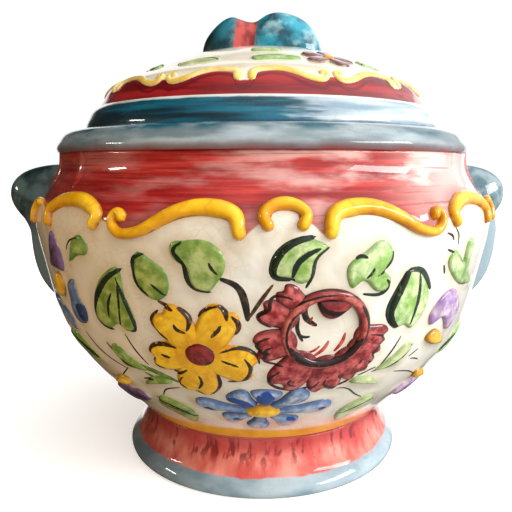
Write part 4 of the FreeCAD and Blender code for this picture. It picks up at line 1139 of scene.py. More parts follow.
def pressed_scroll(azimuth, distance, drawing, flip):
    """A scroll on the bowl, its spine kept for the glazes that part along it."""
    path, widths = drawing
    path = mirrored(path) if flip else path
    spine, half = scroll_spine(bowl, path, widths, on_panel((azimuth, distance)))
    scroll_spines.append(spine)
    wall_edges.append(np.column_stack([spine, half]))
    return raised_band(bowl, spine, half, SCROLL_RELIEF)


scroll_glaze = brushed_glaze(
    "scroll_yellow", ((214, 148, 6), (232, 178, 20)), ((228, 174, 12), (246, 200, 48)), (186, 112, 6),
    (90, 40, 20), size=12.0, rim=(176, 108, 24), rim_width=0.3, edging=0.5)
pale_scroll_glaze = brushed_glaze(
    "scroll_pale_yellow", ((228, 188, 70), (240, 212, 120)), ((232, 196, 84), (244, 222, 150)),
    (206, 160, 50), (90, 40, 20), size=9.0, rim=(236, 220, 170), rim_width=0.4, edging=0.1)
scrolls = {node: [pressed_scroll(*place) for place in places] for node, places in SCROLLS.items()}
for node, parts in scrolls.items():
    make_piece(node.replace("scroll_", "yellow_scroll_"), parts, scroll_glaze, "pot", [node])

# %% [markdown]
# ## The bowl
# One shell, inside and out. It comes after its sprigs on purpose: where a sprig was pressed on, the wall
# swells softly to meet it, and a warm line round it is pooled glaze and painted shade in the crease, so
# both are worked out from the sprigs' outlines. The red of the shoulder ends along the lowest line of the
# scrolls. The back panel repeats the front one, so distances are measured once and used for both halves.

# %% Where glaze pools and shade is painted, and where the red ends
BOWL_COLUMNS = 480
SWELL_HEIGHT, SWELL_REACH = 0.35, 2.6
POOL_AND_SHADE_REACH = 3.4


def under_scrolls(spines, period):
    """Height of the row of scrolls by azimuth: the lowest spine place in each half degree, straight over
    the gaps, and the same again every period."""
    places = np.vstack(spines)
    slots = int(period * 2)
    lowest = np.full(slots, np.inf)
    np.minimum.at(lowest, np.floor(places[:, 0] % period / period * slots).astype(int), places[:, 1])
    known = np.flatnonzero(np.isfinite(lowest))
    return lambda azimuth: np.interp(azimuth % period / period * slots, known + 0.5, lowest[known],
                                     period=slots)


def nearest_edge(wall, azimuth, distance, edges):
    """Millimetres from each place to the nearest outline of anything applied to the wall."""
    radius = wall.read(wall.line, distance)[0]
    nearest = np.full(azimuth.shape, 2 * FAR)
    for edge in edges:
        middle = edge.mean(axis=0)
        edge_radius = wall.read(wall.line, edge[:, 1])[0]
        line = np.column_stack([np.radians(edge[:, 0] - middle[0]) * edge_radius, edge[:, 1]])
        flat = np.stack([np.radians(azimuth - middle[0]) * radius, distance], axis=-1)
        low, high = line.min(axis=0) - 2 * FAR, line.max(axis=0) + 2 * FAR
        close = np.all((flat > low) & (flat < high), axis=-1)
        half = edge[:, 2] if edge.shape[1] > 2 else None
        line, half = (closed(line), None) if half is None else (line, half)
        nearest[close] = np.minimum(nearest[close], np.abs(gap_to(flat[close], line, half)))
    return nearest


def wall_swell(gap):
    """The wall rises softly to meet whatever was pressed on it: a bell curve of the gap to it."""
    return SWELL_HEIGHT * np.exp(-(gap / SWELL_REACH) ** 2)


red_ends = under_scrolls(scroll_spines, 180.0)
half_azimuths = np.linspace(-90.0, 90.0, BOWL_COLUMNS // 2, endpoint=False)
wall_rows = np.linspace(0.0, bowl.length, 122)
front_azimuth, front_distance = np.meshgrid(half_azimuths, wall_rows)
front_gap = nearest_edge(bowl, front_azimuth, front_distance, wall_edges)
wall_gap = np.hstack([front_gap, front_gap])
wall_azimuth = np.hstack([front_azimuth, front_azimuth + 180.0])
wall_distance = np.hstack([front_distance, front_distance])
print("the wall's nearest place to a sprig:", round(float(wall_gap.min()), 2), "mm")

# %% The bowl's glaze


def mix_wall_glaze():
    """Ivory with warm pools and cracks, a yellow line above the foot, and streaked red on the shoulder.
    Painted shade warms the ivory on the left and in the crease round each sprig, and darkens the red on
    the left; painted light pales the red towards the right.
    """
    glaze = Recipe("wall_ivory_and_red")
    rise = glaze.painted("rise")
    ivory = glaze.mix(glaze.blotches(34.0, 0.35, 0.65), wash(230, 230, 223), wash(219, 217, 206))
    # pooled glaze and painted shade: a warm line in the crease round each sprig
    patchy = glaze.scaled(glaze.cloud(11.0, shift=2.0), -0.1, 0.8)
    pool_and_shade = glaze.math("MULTIPLY", glaze.painted("pool_and_shade"), patchy)
    ivory = glaze.mix(pool_and_shade, ivory, wash(184, 160, 122))
    stain = glaze.blotches(26.0, 0.58, 0.76, shift=5.0)
    ivory = glaze.laid(ivory, wash(200, 176, 136), stain, 0.35)
    # painted shade: the ivory turns warm and darker towards the pot's left side
    warm_left_shade = glaze.between(glaze.wobbled(glaze.axis(0), 20.0, 14.0), 0.0, -80.0)
    ivory = glaze.laid(ivory, wash(206, 166, 98), warm_left_shade, 0.5)
    ivory = glaze.crackled(ivory, 0.16)
    streak = glaze.blotches(60.0, 0.36, 0.64, (1, 1, 26), 7.0)
    red = glaze.mix(streak, wash(140, 14, 18), wash(190, 56, 50))
    fine = glaze.blotches(16.0, 0.50, 0.66, (1, 1, 22), 4.0, shift=13.0)
    red = glaze.laid(red, wash(112, 12, 16), fine, 0.45)
    # thin red shows pale pink at random; painted light adds more of it towards the right and a pale band
    # there
    sideways = glaze.axis(0)
    side = glaze.between(sideways, -70.0, 85.0)
    thin = glaze.blotches(38.0, 0.44, 0.62, (1, 1, 4), 5.0, shift=8.0)
    thin_and_lit = glaze.math("MULTIPLY", thin, glaze.scaled(side, 0.15, 1.0))
    right = glaze.math("MULTIPLY", glaze.between(sideways, 30.0, 80.0), glaze.between(sideways, 98.0, 80.0))
    thin_and_lit = glaze.math("MAXIMUM", thin_and_lit, glaze.math("MULTIPLY", right, 0.75))
    red = glaze.mix(thin_and_lit, red, wash(236, 198, 191))
    dark = glaze.blotches(44.0, 0.56, 0.68, (1, 1, 34), 5.0, shift=1.0)
    red = glaze.laid(red, wash(104, 14, 26), dark, 0.6)
    # painted shade: the red darkens towards the pot's left side
    shade = glaze.between(glaze.axis(0), *LEFT_PAINTED_SHADE)
    red = glaze.laid(red, wash(92, 22, 14), shade, 0.5)
    # pooled glaze and painted shade: the red darkens in the crease round each sprig
    red = glaze.laid(red, wash(122, 30, 32), glaze.painted("pool_and_shade"), 0.5)
    shoulder = glaze.wobbled(glaze.painted("shoulder"), 5.0, 0.8)
    colour = glaze.mix(glaze.between(shoulder, -0.5, 0.6), ivory, glaze.crackled(red, 0.12))
    line = glaze.wobbled(rise, 30.0, 2.6)
    yellow = glaze.mix(glaze.cloud(9.0), wash(222, 156, 16), wash(246, 196, 56))
    colour = glaze.mix(glaze.between(line, 14.2, 11.0), colour, yellow)
    low_red = glaze.mix(streak, wash(168, 52, 52), wash(216, 124, 112))
    colour = glaze.mix(glaze.between(rise, 3.4, 2.4), colour, low_red)
    return glaze.finish(colour)


wall_glaze = mix_wall_glaze()
print("the wall's glaze has", len(wall_glaze.node_tree.nodes), "nodes")

# %% The bowl's shell
POLE = 3.0               # radius of the smallest ring of the floor
EASE = 0.5               # how far a soft corner is cut back
CLEAR = 60.0             # a height up the wall that is well clear of the foot's yellow line
NO_RED = -50.0           # millimetres over the red's edge, for clay that the red never reaches


def turned_rings(profile, columns, azimuth0=0.0):
    """Rings of a profile (radius, height) turned about the axis."""
    turn = np.radians(azimuth0 + np.linspace(0.0, 360.0, columns, endpoint=False))
    profile = np.asarray(profile, float)
    radius = profile[:, :1]
    return np.stack([radius * np.sin(turn), -radius * np.cos(turn), profile[:, 1:] + 0 * turn], axis=-1)


def eased(corners):
    """A profile of straight runs with every inner corner cut twice, so that smooth shading shows a soft
    edge: each corner becomes two points a little way along the runs beside it."""
    corners = np.asarray(corners, float)
    run = np.diff(corners, axis=0)
    length = np.linalg.norm(run, axis=1)[:, None]
    cut = np.minimum(EASE, length / 3) * run / length
    before = corners[1:-1] - cut[:-1]
    after = corners[1:-1] + cut[1:]
    return np.vstack([corners[:1], np.stack([before, after], axis=1).reshape(-1, 2), corners[-1:]])


def offset_line(wall, distance, depth):
    """Profile points at some depth behind a wall's surface."""
    radius, height = wall.read(wall.line, distance)
    along_out, along_up = wall.read(wall.along, distance)
    return np.column_stack([radius - along_up * depth, height + along_out * depth])


def bowl_rings():
    """Rings from the middle of the floor up the inside, over the rim and down the outside to the middle
    of the base, and which of them are the outside's."""
    inside = offset_line(bowl, np.linspace(0.14, 0.985, 34) * bowl.length, BOWL_WALL)
    floor_radii = np.linspace(POLE, inside[0, 0] - 5.0, 8)
    floor_line = np.column_stack([floor_radii, np.full_like(floor_radii, BASE_HEIGHT + BOWL_FLOOR)])
    sweep_up = smooth_line([floor_line[-1], inside[0] + (-2.2, -2.4), inside[0]], 6)[1:-1]
    rim = eased([inside[-1], (NECK_RADIUS - BOWL_WALL, NECK_HEIGHT), (NECK_RADIUS, NECK_HEIGHT)])
    within = np.vstack([floor_line, sweep_up, inside[:-1], rim[:-1]])
    outer = bowl.on(wall_azimuth, wall_distance, wall_swell(wall_gap))[::-1]
    bottom_radii = np.linspace(BASE_RADIUS - 1.0, POLE, 6)
    bottom = np.column_stack([bottom_radii, np.full_like(bottom_radii, BASE_HEIGHT)])
    inner, base = (turned_rings(profile, BOWL_COLUMNS, half_azimuths[0]) for profile in (within, bottom))
    return np.concatenate([inner, outer, base]), slice(len(inner), len(inner) + len(outer))


rings, outer_rows = bowl_rings()
paint = {name: np.full(rings.shape[:2], blank) for name, blank in
         (("shoulder", NO_RED), ("pool_and_shade", 0.0), ("rise", CLEAR))}
paint["shoulder"][outer_rows] = (wall_distance - red_ends(wall_azimuth))[::-1]
paint["pool_and_shade"][outer_rows] = np.exp(-(wall_gap / POOL_AND_SHADE_REACH) ** 2)[::-1]
paint["rise"][outer_rows] = wall_distance[::-1]
make_piece("glazed_bowl", [skin(rings, paint)], wall_glaze, "pot", ["bowl_wall"])

# %% [markdown]
# ## Ribs on the shoulder
# Two soft upright ribs stand on either side of each lug, covered by the red. They are lenses too, with a
# rounding as wide as half the rib, so that they read as swellings of the wall.

# %% Shoulder ribs
RIB_SIZE = (5.4, 16.0)
RIB_RISE = 136.4
RIB_RELIEF = 0.9
RIB_SIDES = (50.0, 68.0)
IN_THE_RED = 18.0


def rib(azimuth):
    """A narrow lens with a high crown, painted as the wall's red is."""
    shape = lens(bowl, oval(*RIB_SIZE), (azimuth, RIB_RISE), RIB_RELIEF, 2.6, 0.75, 64, 14)
    blank = np.zeros_like(shape["edge"])
    return lens_skin(bowl, shape, {"shoulder": blank + IN_THE_RED, "pool_and_shade": blank, "rise": blank + CLEAR})


ribs = [rib(turn) for side in RIB_SIDES for turn in (side, -side, 180.0 + side, 180.0 - side)]
make_piece("soft_ribs", ribs, wall_glaze, "pot", ["shoulder_ribs"])

# %% [markdown]
# ## Foot
# A hollow flared ring, red above and grey blue at the base, where the brush ran upright and left darker
# drips. Its standing ring is wiped clean of glaze before firing, or it would stick to the kiln shelf.

# %% Foot
FOOT_RADIUS, FOOT_WAIST = foot_high[0], 62.3
FOOT_BORE = 55.5


def mix_foot_glaze():
    """Red with upright drips, grey blue at the base, painted shade towards the pot's left side, and bare
    clay on the standing ring.
    """
    glaze = Recipe("foot_red_and_blue")
    height = glaze.axis(2)
    drip = glaze.blotches(14.0, 0.30, 0.70, (1.6, 1.6, 0.5), 4.0)
    red = glaze.mix(drip, wash(196, 74, 68), wash(232, 146, 132))
    upper = glaze.between(glaze.wobbled(height, 9.0, 3.0), 13.0, 20.0)
    red = glaze.laid(red, wash(176, 42, 48), upper, 0.75)
    drops = glaze.blotches(7.0, 0.54, 0.64, (2.2, 2.2, 0.4), 4.0, shift=4.0)
    middle = glaze.math("MULTIPLY", glaze.between(height, 9.0, 17.0), glaze.between(height, 26.0, 21.0))
    drops = glaze.math("MULTIPLY", drops, middle)
    red = glaze.laid(red, wash(110, 16, 28), drops, 0.8)
    blue = glaze.mix(glaze.blotches(22.0, 0.30, 0.70, (1, 1, 2)), wash(112, 138, 152),
                     wash(162, 180, 190))
    teal = glaze.blotches(15.0, 0.58, 0.74, (1, 1, 2), shift=6.0)
    blue = glaze.laid(blue, wash(70, 118, 140), teal, 0.5)
    meeting = glaze.wobbled(height, 8.0, 0.9)
    colour = glaze.mix(glaze.between(meeting, 8.2, 7.4), red, blue)
    colour = glaze.crackled(colour, 0.12)
    # painted shade: the foot darkens towards the pot's left side
    shade = glaze.between(glaze.axis(0), -12.0, -76.0)
    colour = glaze.laid(colour, wash(52, 36, 28), shade, 0.6)
    clay = glaze.mix(glaze.cloud(2.0), wash(206, 178, 146), wash(222, 200, 172))
    colour = glaze.mix(glaze.between(height, 0.5, 0.2), colour, clay)
    return glaze.finish(colour)


foot_outside = smooth_line([(FOOT_RADIUS - 0.6, 0.0), (FOOT_RADIUS, 2.0), (FOOT_RADIUS - 1.3, 5.0),
                            (FOOT_RADIUS - 4.6, 8.5), (FOOT_WAIST + 2.2, BASE_HEIGHT * 0.54),
                            (FOOT_WAIST, BASE_HEIGHT * 0.87), (BASE_RADIUS, BASE_HEIGHT)], 44)
foot_inside = smooth_line([(FOOT_BORE, BASE_HEIGHT), (FOOT_BORE, BASE_HEIGHT * 0.6),
                           (FOOT_BORE + 3.6, BASE_HEIGHT * 0.2), (FOOT_RADIUS - 8.6, 0.3)], 20)
foot_profile = np.vstack([foot_outside[1:], foot_inside,
                          [(FOOT_RADIUS - 8, 0), (FOOT_RADIUS - 1.2, 0)]])
foot_glaze = mix_foot_glaze()
make_piece("glazed_foot", [skin(turned_rings(foot_profile, 360), {}, looped=True)], foot_glaze, "pot",
           ["foot_ring"])

# %% [markdown]
# ## Collar
# The stepped collar carries the lid. Outside it is washed grey blue with touches of teal along its upper
# edge, and a darker line where it meets the red. A potter would wipe the ledge inside clean, so that the
# lid can be fired in its place. Here one glaze covers the whole collar, since the lid hides the ledge.

# %% Collar
COLLAR_RADIUS = collar_high[0]
SEAT_CLEARANCE, SEAT_GAP = 1.5, 0.2
LEDGE_WIDTH, LEDGE_THICKNESS = 8.5, 4.5
SEAT_RADIUS = LID_RADIUS + SEAT_CLEARANCE
LEDGE_RADIUS = SEAT_RADIUS - LEDGE_WIDTH
LEDGE_HEIGHT = LID_BASE - SEAT_GAP


def mix_collar_glaze():
    """Grey blue with painted shade on the left, teal along the upper edge, and a dirty red line at the
    lower one.
    """
    glaze = Recipe("collar_grey_blue")
    wide = glaze.blotches(40.0, 0.36, 0.64, (1, 1, 5), 4.0)
    blue = glaze.mix(wide, wash(104, 120, 126), wash(160, 174, 180))
    # painted shade: the grey blue darkens towards the pot's left side
    shade = glaze.between(glaze.axis(0), *LEFT_PAINTED_SHADE)
    blue = glaze.laid(blue, wash(58, 84, 90), shade, 0.5)
    height = glaze.axis(2)
    upper = glaze.between(glaze.wobbled(height, 14.0, 2.4), NECK_HEIGHT + 5.2, NECK_HEIGHT + 8.6)
    touch = glaze.blotches(26.0, 0.46, 0.62, (1, 1, 3), shift=5.0)
    blue = glaze.mix(glaze.math("MULTIPLY", upper, touch), blue, wash(12, 82, 100))
    foot_line = glaze.wobbled(height, 16.0, 1.8, 3.0)
    dirty = glaze.between(foot_line, NECK_HEIGHT + 4.0, NECK_HEIGHT + 0.8)
    blue = glaze.laid(blue, wash(104, 74, 76), dirty, 0.75)
    lowest = glaze.between(foot_line, NECK_HEIGHT + 1.4, NECK_HEIGHT - 0.6)
    blue = glaze.laid(blue, wash(140, 40, 38), lowest, 0.8)
    return glaze.finish(glaze.crackled(blue, 0.2))


collar_outside = smooth_line([(COLLAR_RADIUS - 0.6, NECK_HEIGHT), (COLLAR_RADIUS, NECK_HEIGHT + 2.0),
                              (COLLAR_RADIUS - 1.4, NECK_HEIGHT + 5.2),
                              (COLLAR_RADIUS - 3.8, NECK_HEIGHT + 8.4), (SEAT_RADIUS + 4.2, COLLAR_TOP)], 34)
collar_inside = eased([collar_outside[-1], (SEAT_RADIUS + 0.8, COLLAR_TOP), (SEAT_RADIUS, COLLAR_TOP - 0.8),
                       (SEAT_RADIUS, LEDGE_HEIGHT), (LEDGE_RADIUS, LEDGE_HEIGHT),
                       (LEDGE_RADIUS, LEDGE_HEIGHT - LEDGE_THICKNESS),
                       (NECK_RADIUS - BOWL_WALL, NECK_HEIGHT), collar_outside[0]])
collar_rings = turned_rings(np.vstack([collar_outside, collar_inside[1:-1]]), 400)
make_piece("glazed_collar", [skin(collar_rings, {}, looped=True)], mix_collar_glaze(), "pot",
           ["rim_collar"])

# %% [markdown]
# ## Lugs
# A thick roll of clay that stands out at the shoulder and runs down the wall in a tail. A side view gives
# how far it stands out, and a front view how wide it is. Rings across it join the two: each is a rounded
# arch from the wall out to the side view's line. The lugs are teal; the left one is painted dark, as
# painted shade, and the right one pale, as painted light.

# %% Lugs
LUG_LINE = (
    (99.6, 145.2), (106, 145.2), (113, 144.2), (120, 142), (124.9, 138.6), (127.6, 134.6), (128.3, 130.2),
    (127.2, 125.4), (124.4, 120.6), (122.6, 113), (122.2, 105.4), (120.4, 92.4), (118, 85.9), (113, 78.6),
    (104, 70))
LUG_HALF_WIDTHS = (
    (0, 7), (0.14, 11), (0.28, 13.6), (0.36, 13.8), (0.46, 9.6), (0.54, 7.8), (0.8, 6.4), (1, 2.6))


def mix_lug_glaze():
    """Dark teal for painted shade and pale for painted light, by the lit share painted on the lug, and a
    paler tail that is shaded and lit the same way.
    """
    glaze = Recipe("lug_teal")
    thin = glaze.blotches(9.0, 0.36, 0.62, detail=4.0)
    dark = glaze.mix(thin, wash(16, 38, 42), wash(66, 88, 88))
    pale = glaze.mix(thin, wash(58, 98, 110), wash(136, 156, 162))
    # painted shade and painted light: the lit share picks the dark washes or the pale ones
    colour = glaze.mix(glaze.painted("lit_share"), dark, pale)
    brush = glaze.blotches(12.0, 0.56, 0.68, shift=3.0)
    colour = glaze.laid(colour, wash(20, 76, 92), brush, 0.6)
    tail = glaze.mix(glaze.painted("lit_share"), wash(84, 100, 106), wash(140, 162, 174))
    colour = glaze.mix(glaze.between(glaze.wobbled(glaze.axis(2), 9.0, 2.0), 122.0, 114.0), colour, tail)
    return glaze.finish(glaze.crackled(colour, 0.15))


def lug(side, lit_share, fuller, rows=96, across=28):
    """Rings from the top of the roll down to the tail's end: out = wall + (line - wall) * arch(v), where
    the arch is a superellipse across the lug, and a lower half that lies inside the wall. The tail is
    fuller or leaner by some millimetres, since no two lugs come out alike."""
    line = smooth_line(LUG_LINE, rows)
    line[:, 0] += fuller * np.clip((122.0 - line[:, 1]) / 10.0, 0.0, 1.0)
    share = np.linspace(0.0, 1.0, rows)
    half = np.interp(share, *np.array(LUG_HALF_WIDTHS).T)
    half = np.convolve(np.pad(half, 6, mode="edge"), np.full(13, 1 / 13), mode="valid")
    back_height = np.linspace(142.0, 68.0, rows)
    back_radius = np.interp(back_height, bowl.line[:, 1], bowl.line[:, 0]) - 2.0
    v = np.cos(np.linspace(math.pi, 0.0, across))
    arch = (1.0 - np.abs(v) ** 2.6) ** (1 / 1.9)
    out = back_radius[:, None] + (line[:, :1] - back_radius[:, None]) * arch
    up = back_height[:, None] + (line[:, 1:] - back_height[:, None]) * arch
    y = half[:, None] * v
    under = [np.stack([side * (back_radius[:, None] - 2.0 + 0 * y[:, 1:-1]), y[:, ::-1][:, 1:-1],
                       back_height[:, None] + 0 * y[:, 1:-1]], axis=-1)]
    rings = np.concatenate([np.stack([side * out, y, up], axis=-1)] + under, axis=1)
    return skin(rings, {"lit_share": np.full(rings.shape[:2], lit_share)})


lug_glaze = mix_lug_glaze()
# the left lug gets painted shade, the right one painted light
make_piece("scroll_lug_left", [lug(-1, 0.0, -2.4)], lug_glaze, "pot", ["lug_left"])
make_piece("scroll_lug_right", [lug(1, 0.9, 4.0)], lug_glaze, "pot", ["lug_right"])

# %% [markdown]
# ## Lid
# One stepped shell: a teal and grey-blue step, a red band, and an ivory dome. The red ends along the lowest
# line of the small yellow scrolls, so those are laid first.

# %% Scrolls round the lid
LID_SCROLL_PAIRS = 7
LID_SCROLL_SCALE = 0.62
LID_SCROLL_TURN, LID_SCROLL_RISE = -9.0, 11.0
LID_SCROLL_RELIEF = 0.9
pair_step = 360.0 / LID_SCROLL_PAIRS
lid_spines = []
lid_scrolls = []
for index in range(LID_SCROLL_PAIRS):
    for side, path in ((-1, LONG_SCROLL[0]), (1, mirrored(LONG_SCROLL[0]))):
        place = on_panel((index * pair_step + LID_SCROLL_TURN + side * pair_step / 4, LID_SCROLL_RISE))
        spine, half = scroll_spine(dome, path, LONG_SCROLL[1], place, LID_SCROLL_SCALE, 56)
        lid_spines.append(spine)
        lid_scrolls.append(raised_band(dome, spine, half, LID_SCROLL_RELIEF, around=16))
lid_red_ends = under_scrolls(lid_spines, 360.0)
make_piece("lid_yellow_scrolls", lid_scrolls, pale_scroll_glaze, "lid", ["lid_scrolls"])

# %% The lid's glaze


def mix_lid_glaze():
    """By the painted height over the red's edge: ivory, then red with one dark furrow, then the step,
    teal on the left and pale on the right."""
    glaze = Recipe("lid_bands")
    fringe = glaze.painted("fringe")
    ivory = glaze.mix(glaze.blotches(26.0, 0.35, 0.65), wash(236, 230, 214), wash(222, 212, 190))
    ivory = glaze.crackled(ivory, 0.12)
    streak = glaze.blotches(44.0, 0.36, 0.64, (1, 1, 12), 5.0)
    red = glaze.mix(streak, wash(108, 10, 20), wash(156, 32, 36))
    wave = glaze.wobbled(fringe, 12.0, 1.4, shift=3.0)
    furrow = glaze.math("MULTIPLY", glaze.between(wave, -5.2, -4.2), glaze.between(wave, -2.6, -3.6))
    red = glaze.laid(red, wash(92, 8, 24), furrow, 0.75)
    colour = glaze.mix(glaze.between(glaze.wobbled(fringe, 5.0, 0.5), 0.4, -0.4), ivory, red)
    height = glaze.axis(2)
    brush = glaze.blotches(52.0, 0.34, 0.66, (1, 1, 15), 6.0, shift=2.0)
    teal = glaze.mix(brush, wash(2, 38, 52), wash(16, 104, 130))
    pale = glaze.mix(brush, wash(122, 146, 162), wash(184, 196, 204))
    around = glaze.math("ADD", glaze.math("MULTIPLY", glaze.axis(0), 0.9925),
                        glaze.math("MULTIPLY", glaze.axis(1), 0.1219))
    streaks = glaze.scaled(glaze.cloud(30.0, (1, 1, 9), 5.0, shift=6.0), -34.0, 34.0)
    step = glaze.mix(glaze.between(glaze.math("ADD", around, streaks), -6.0, 7.0), teal, pale)
    seam = glaze.between(glaze.wobbled(height, 12.0, 1.4), LID_BASE + 4.6, LID_BASE + 2.8)
    step = glaze.laid(step, wash(8, 54, 78), seam, 0.9)
    bare = glaze.between(glaze.wobbled(height, 8.0, 0.5, 4.0), DOME_BASE - 1.6, DOME_BASE - 0.8)
    step = glaze.mix(bare, glaze.crackled(step, 0.15), wash(206, 210, 206))
    colour = glaze.mix(glaze.between(fringe, -60.0, -62.0), colour, step)
    return glaze.finish(colour)


lid_glaze = mix_lid_glaze()
print("the lid's glaze has", len(lid_glaze.node_tree.nodes), "nodes")

# %% The lid's shell
STEP_SWEEP = ((0, 0), (-0.03, 0.2), (0, 0.35), (0.1, 0.49), (0.27, 0.64), (0.5, 0.82), (1, 1))
RING_WALL = 4.5
RING_INSIDE = locating_high[0] - RING_WALL
LID_COLUMNS = 420
IVORY_INSIDE, ON_THE_STEP = 20.0, -100.0     # painted heights over the red's edge, away from the dome
lid_azimuths = np.linspace(0.0, 360.0, LID_COLUMNS, endpoint=False)
dome_rows = np.linspace(0.0, dome.length - 1.5, 96)
step_line = smooth_line(sweep(STEP_SWEEP, (LID_RADIUS, LID_BASE), (DOME_RADIUS, DOME_BASE)), 40)[:-1]
ceiling = offset_line(dome, np.linspace(0.98, 0.08, 40) * dome.length, LID_WALL)
under_lid = eased(np.vstack([ceiling[-1], (RING_INSIDE, LID_BASE), (LID_RADIUS, LID_BASE), step_line[1]]))
below = turned_rings(np.vstack([ceiling[:-1], under_lid[:-1], step_line[1:]]), LID_COLUMNS)
dome_azimuth, dome_distance = np.meshgrid(lid_azimuths, dome_rows)
rings = np.concatenate([below, dome.on(dome_azimuth, dome_distance)])
fringe = np.full(rings.shape[:2], IVORY_INSIDE)
fringe[len(ceiling) + 3:len(below)] = ON_THE_STEP
fringe[len(below):] = dome_distance - lid_red_ends(dome_azimuth)
make_piece("lid_dome", [skin(rings, {"fringe": fringe})], lid_glaze, "lid", ["lid_shell"])

# %% [markdown]
# ## Locating ring
# The bare clay ring under the lid that keeps it from sliding off. It is never glazed.

# %% Locating ring
bare_clay = Recipe("bare_clay", roughness=0.8, coat=0.0)
speckle = bare_clay.mix(bare_clay.cloud(1.2, detail=5.0), wash(196, 162, 128), wash(226, 204, 176))
bare_clay_glaze = bare_clay.finish(speckle, bump=0.00005)
ring_low, ring_outer = locating_low[2], locating_high[0]
ring_middle = (RING_INSIDE, (ring_low + LID_BASE) / 2)
ring_corners = eased([ring_middle, (RING_INSIDE, ring_low), (ring_outer - 1.5, ring_low),
                      (ring_outer, ring_low + 1.5), (ring_outer, LID_BASE), (RING_INSIDE, LID_BASE),
                      ring_middle])
make_piece("bare_ring", [skin(turned_rings(ring_corners[:-1], 300), {}, looped=True)], bare_clay_glaze,
           "lid", ["lid_locating_ring"])

# %% [markdown]
# ## Knob
# A modelled bow: two puffed lobes with a sunk red band between them that leans to the right. A front view
# gives the height of the lobes and a plan view their depth. Rings across the knob join the two: each is
# a rounded arch, and its foot follows the dome. The band is sunk by a soft-edged step.

# %% Knob
KNOB_FRONT = (
    (-1, -0.25), (-0.97, 0.2), (-0.92, 0.4), (-0.82, 0.59), (-0.69, 0.76), (-0.48, 0.89), (-0.3, 0.84),
    (-0.17, 0.81), (-0.07, 0.84), (0.04, 0.93), (0.21, 1), (0.43, 0.97), (0.7, 0.81), (0.84, 0.6),
    (0.96, 0.31), (1, -0.25))
KNOB_PLAN = (
    (-1, 0), (-0.93, 0.5), (-0.8, 0.78), (-0.5, 1), (-0.18, 0.84), (0.2, 1), (0.68, 0.94), (0.9, 0.62),
    (1, 0))
KNOB_ROOT = CROWN - 4.5
KNOB_HALF_DEPTH = 12.0
BAND_HALF, BAND_MIDDLE, BAND_LEAN = 5.3, -10.6, 0.16
BAND_SUNK, BAND_SOFTNESS = 0.5, 0.45


def band_gap(x, z):
    """Millimetres beyond the red band's edge: the band leans, so its middle moves with the height."""
    middle = BAND_MIDDLE + (z - KNOB_ROOT) * BAND_LEAN
    return np.abs(x - middle) - BAND_HALF


def knob_rings(rows=120, across=44):
    """Rings from the left end to the right: out = foot + (top - foot) * arch(v) across the knob."""
    half_width = knob_high[0]
    x = -half_width * np.cos(np.linspace(0.04, math.pi - 0.04, rows))
    front, plan = smooth_line(KNOB_FRONT, 300), smooth_line(KNOB_PLAN, 300)
    top = KNOB_ROOT + np.interp(x / half_width, front[:, 0], front[:, 1]) * (knob_high[2] - KNOB_ROOT)
    depth = np.interp(x / half_width, plan[:, 0], plan[:, 1]) * KNOB_HALF_DEPTH
    v = np.cos(np.linspace(math.pi, 0.0, across))
    arch = (1.0 - np.abs(v) ** 2.5) ** (1 / 2.1)
    y = depth[:, None] * v
    radius = np.hypot(x[:, None], y)
    foot = np.interp(radius, dome.line[::-1, 0], dome.line[::-1, 1]) - 1.6
    z = foot + np.maximum(top[:, None] - foot, 0.4) * arch
    sunk = BAND_SUNK / (1.0 + np.exp(band_gap(x[:, None], z) / BAND_SOFTNESS))
    y = y * (1.0 - sunk / 13.0)
    z = z - sunk * arch * 0.8
    under = np.stack([x[:, None] + 0 * y, y[:, ::-1], foot[:, ::-1] - 0.6], axis=-1)[:, 1:-1]
    return np.concatenate([np.stack([x[:, None] + 0 * y, y, z], axis=-1), under], axis=1)


def mix_knob_glaze():
    """Clouded teal, darkened at the left end by painted shade, with more pale clouds towards the right as
    painted light, and the red band in its painted place.
    """
    glaze = Recipe("knob_teal_and_red")
    thin = glaze.blotches(9.0, 0.34, 0.66, detail=3.0)
    teal = glaze.mix(thin, wash(2, 60, 76), wash(40, 148, 172))
    # pale clouds in the teal, and painted light: more of them towards the knob's right-hand lobe
    clouds_and_light = glaze.blotches(9.0, 0.48, 0.70, detail=3.0, shift=5.0)
    right = glaze.between(glaze.axis(0), -6.0, 4.0)
    clouds_and_light = glaze.math("MULTIPLY", clouds_and_light, glaze.scaled(right, 0.375, 0.75))
    teal = glaze.mix(clouds_and_light, teal, wash(146, 190, 200))
    # painted shade: the teal darkens towards the knob's left end
    shade = glaze.between(glaze.axis(0), -12.0, -26.0)
    teal = glaze.laid(teal, wash(8, 30, 34), shade, 0.85)
    band = glaze.wobbled(glaze.painted("band"), 4.0, 0.7)
    red = glaze.mix(glaze.blotches(6.0, 0.38, 0.62, (1, 1, 0.5), 3.0), wash(116, 18, 22),
                    wash(172, 66, 58))
    edge = glaze.math("MULTIPLY", glaze.between(band, -0.7, 0.2), glaze.between(band, 1.6, 0.9))
    colour = glaze.mix(glaze.between(band, 0.1, -0.5), teal, red)
    colour = glaze.laid(colour, wash(84, 78, 74), edge, 0.35)
    return glaze.finish(colour)


rings = knob_rings()
band = band_gap(rings[..., 0], rings[..., 2])
make_piece("bow_knob", [skin(rings, {"band": band})], mix_knob_glaze(), "lid", ["lid_knob"])

# %% [markdown]
# ## Flowers and leaves on the lid
# Low sprigs round the dome: a brown-violet flower with a yellow eye, and thin green leaves, three times
# round. They are lenses on the dome, lower than those on the bowl.

# %% Lid sprigs
LID_REPEATS = 3
LEAF_LIFT, PETAL_LIFT, EYE_LIFT = 1.0, 1.3, 1.8
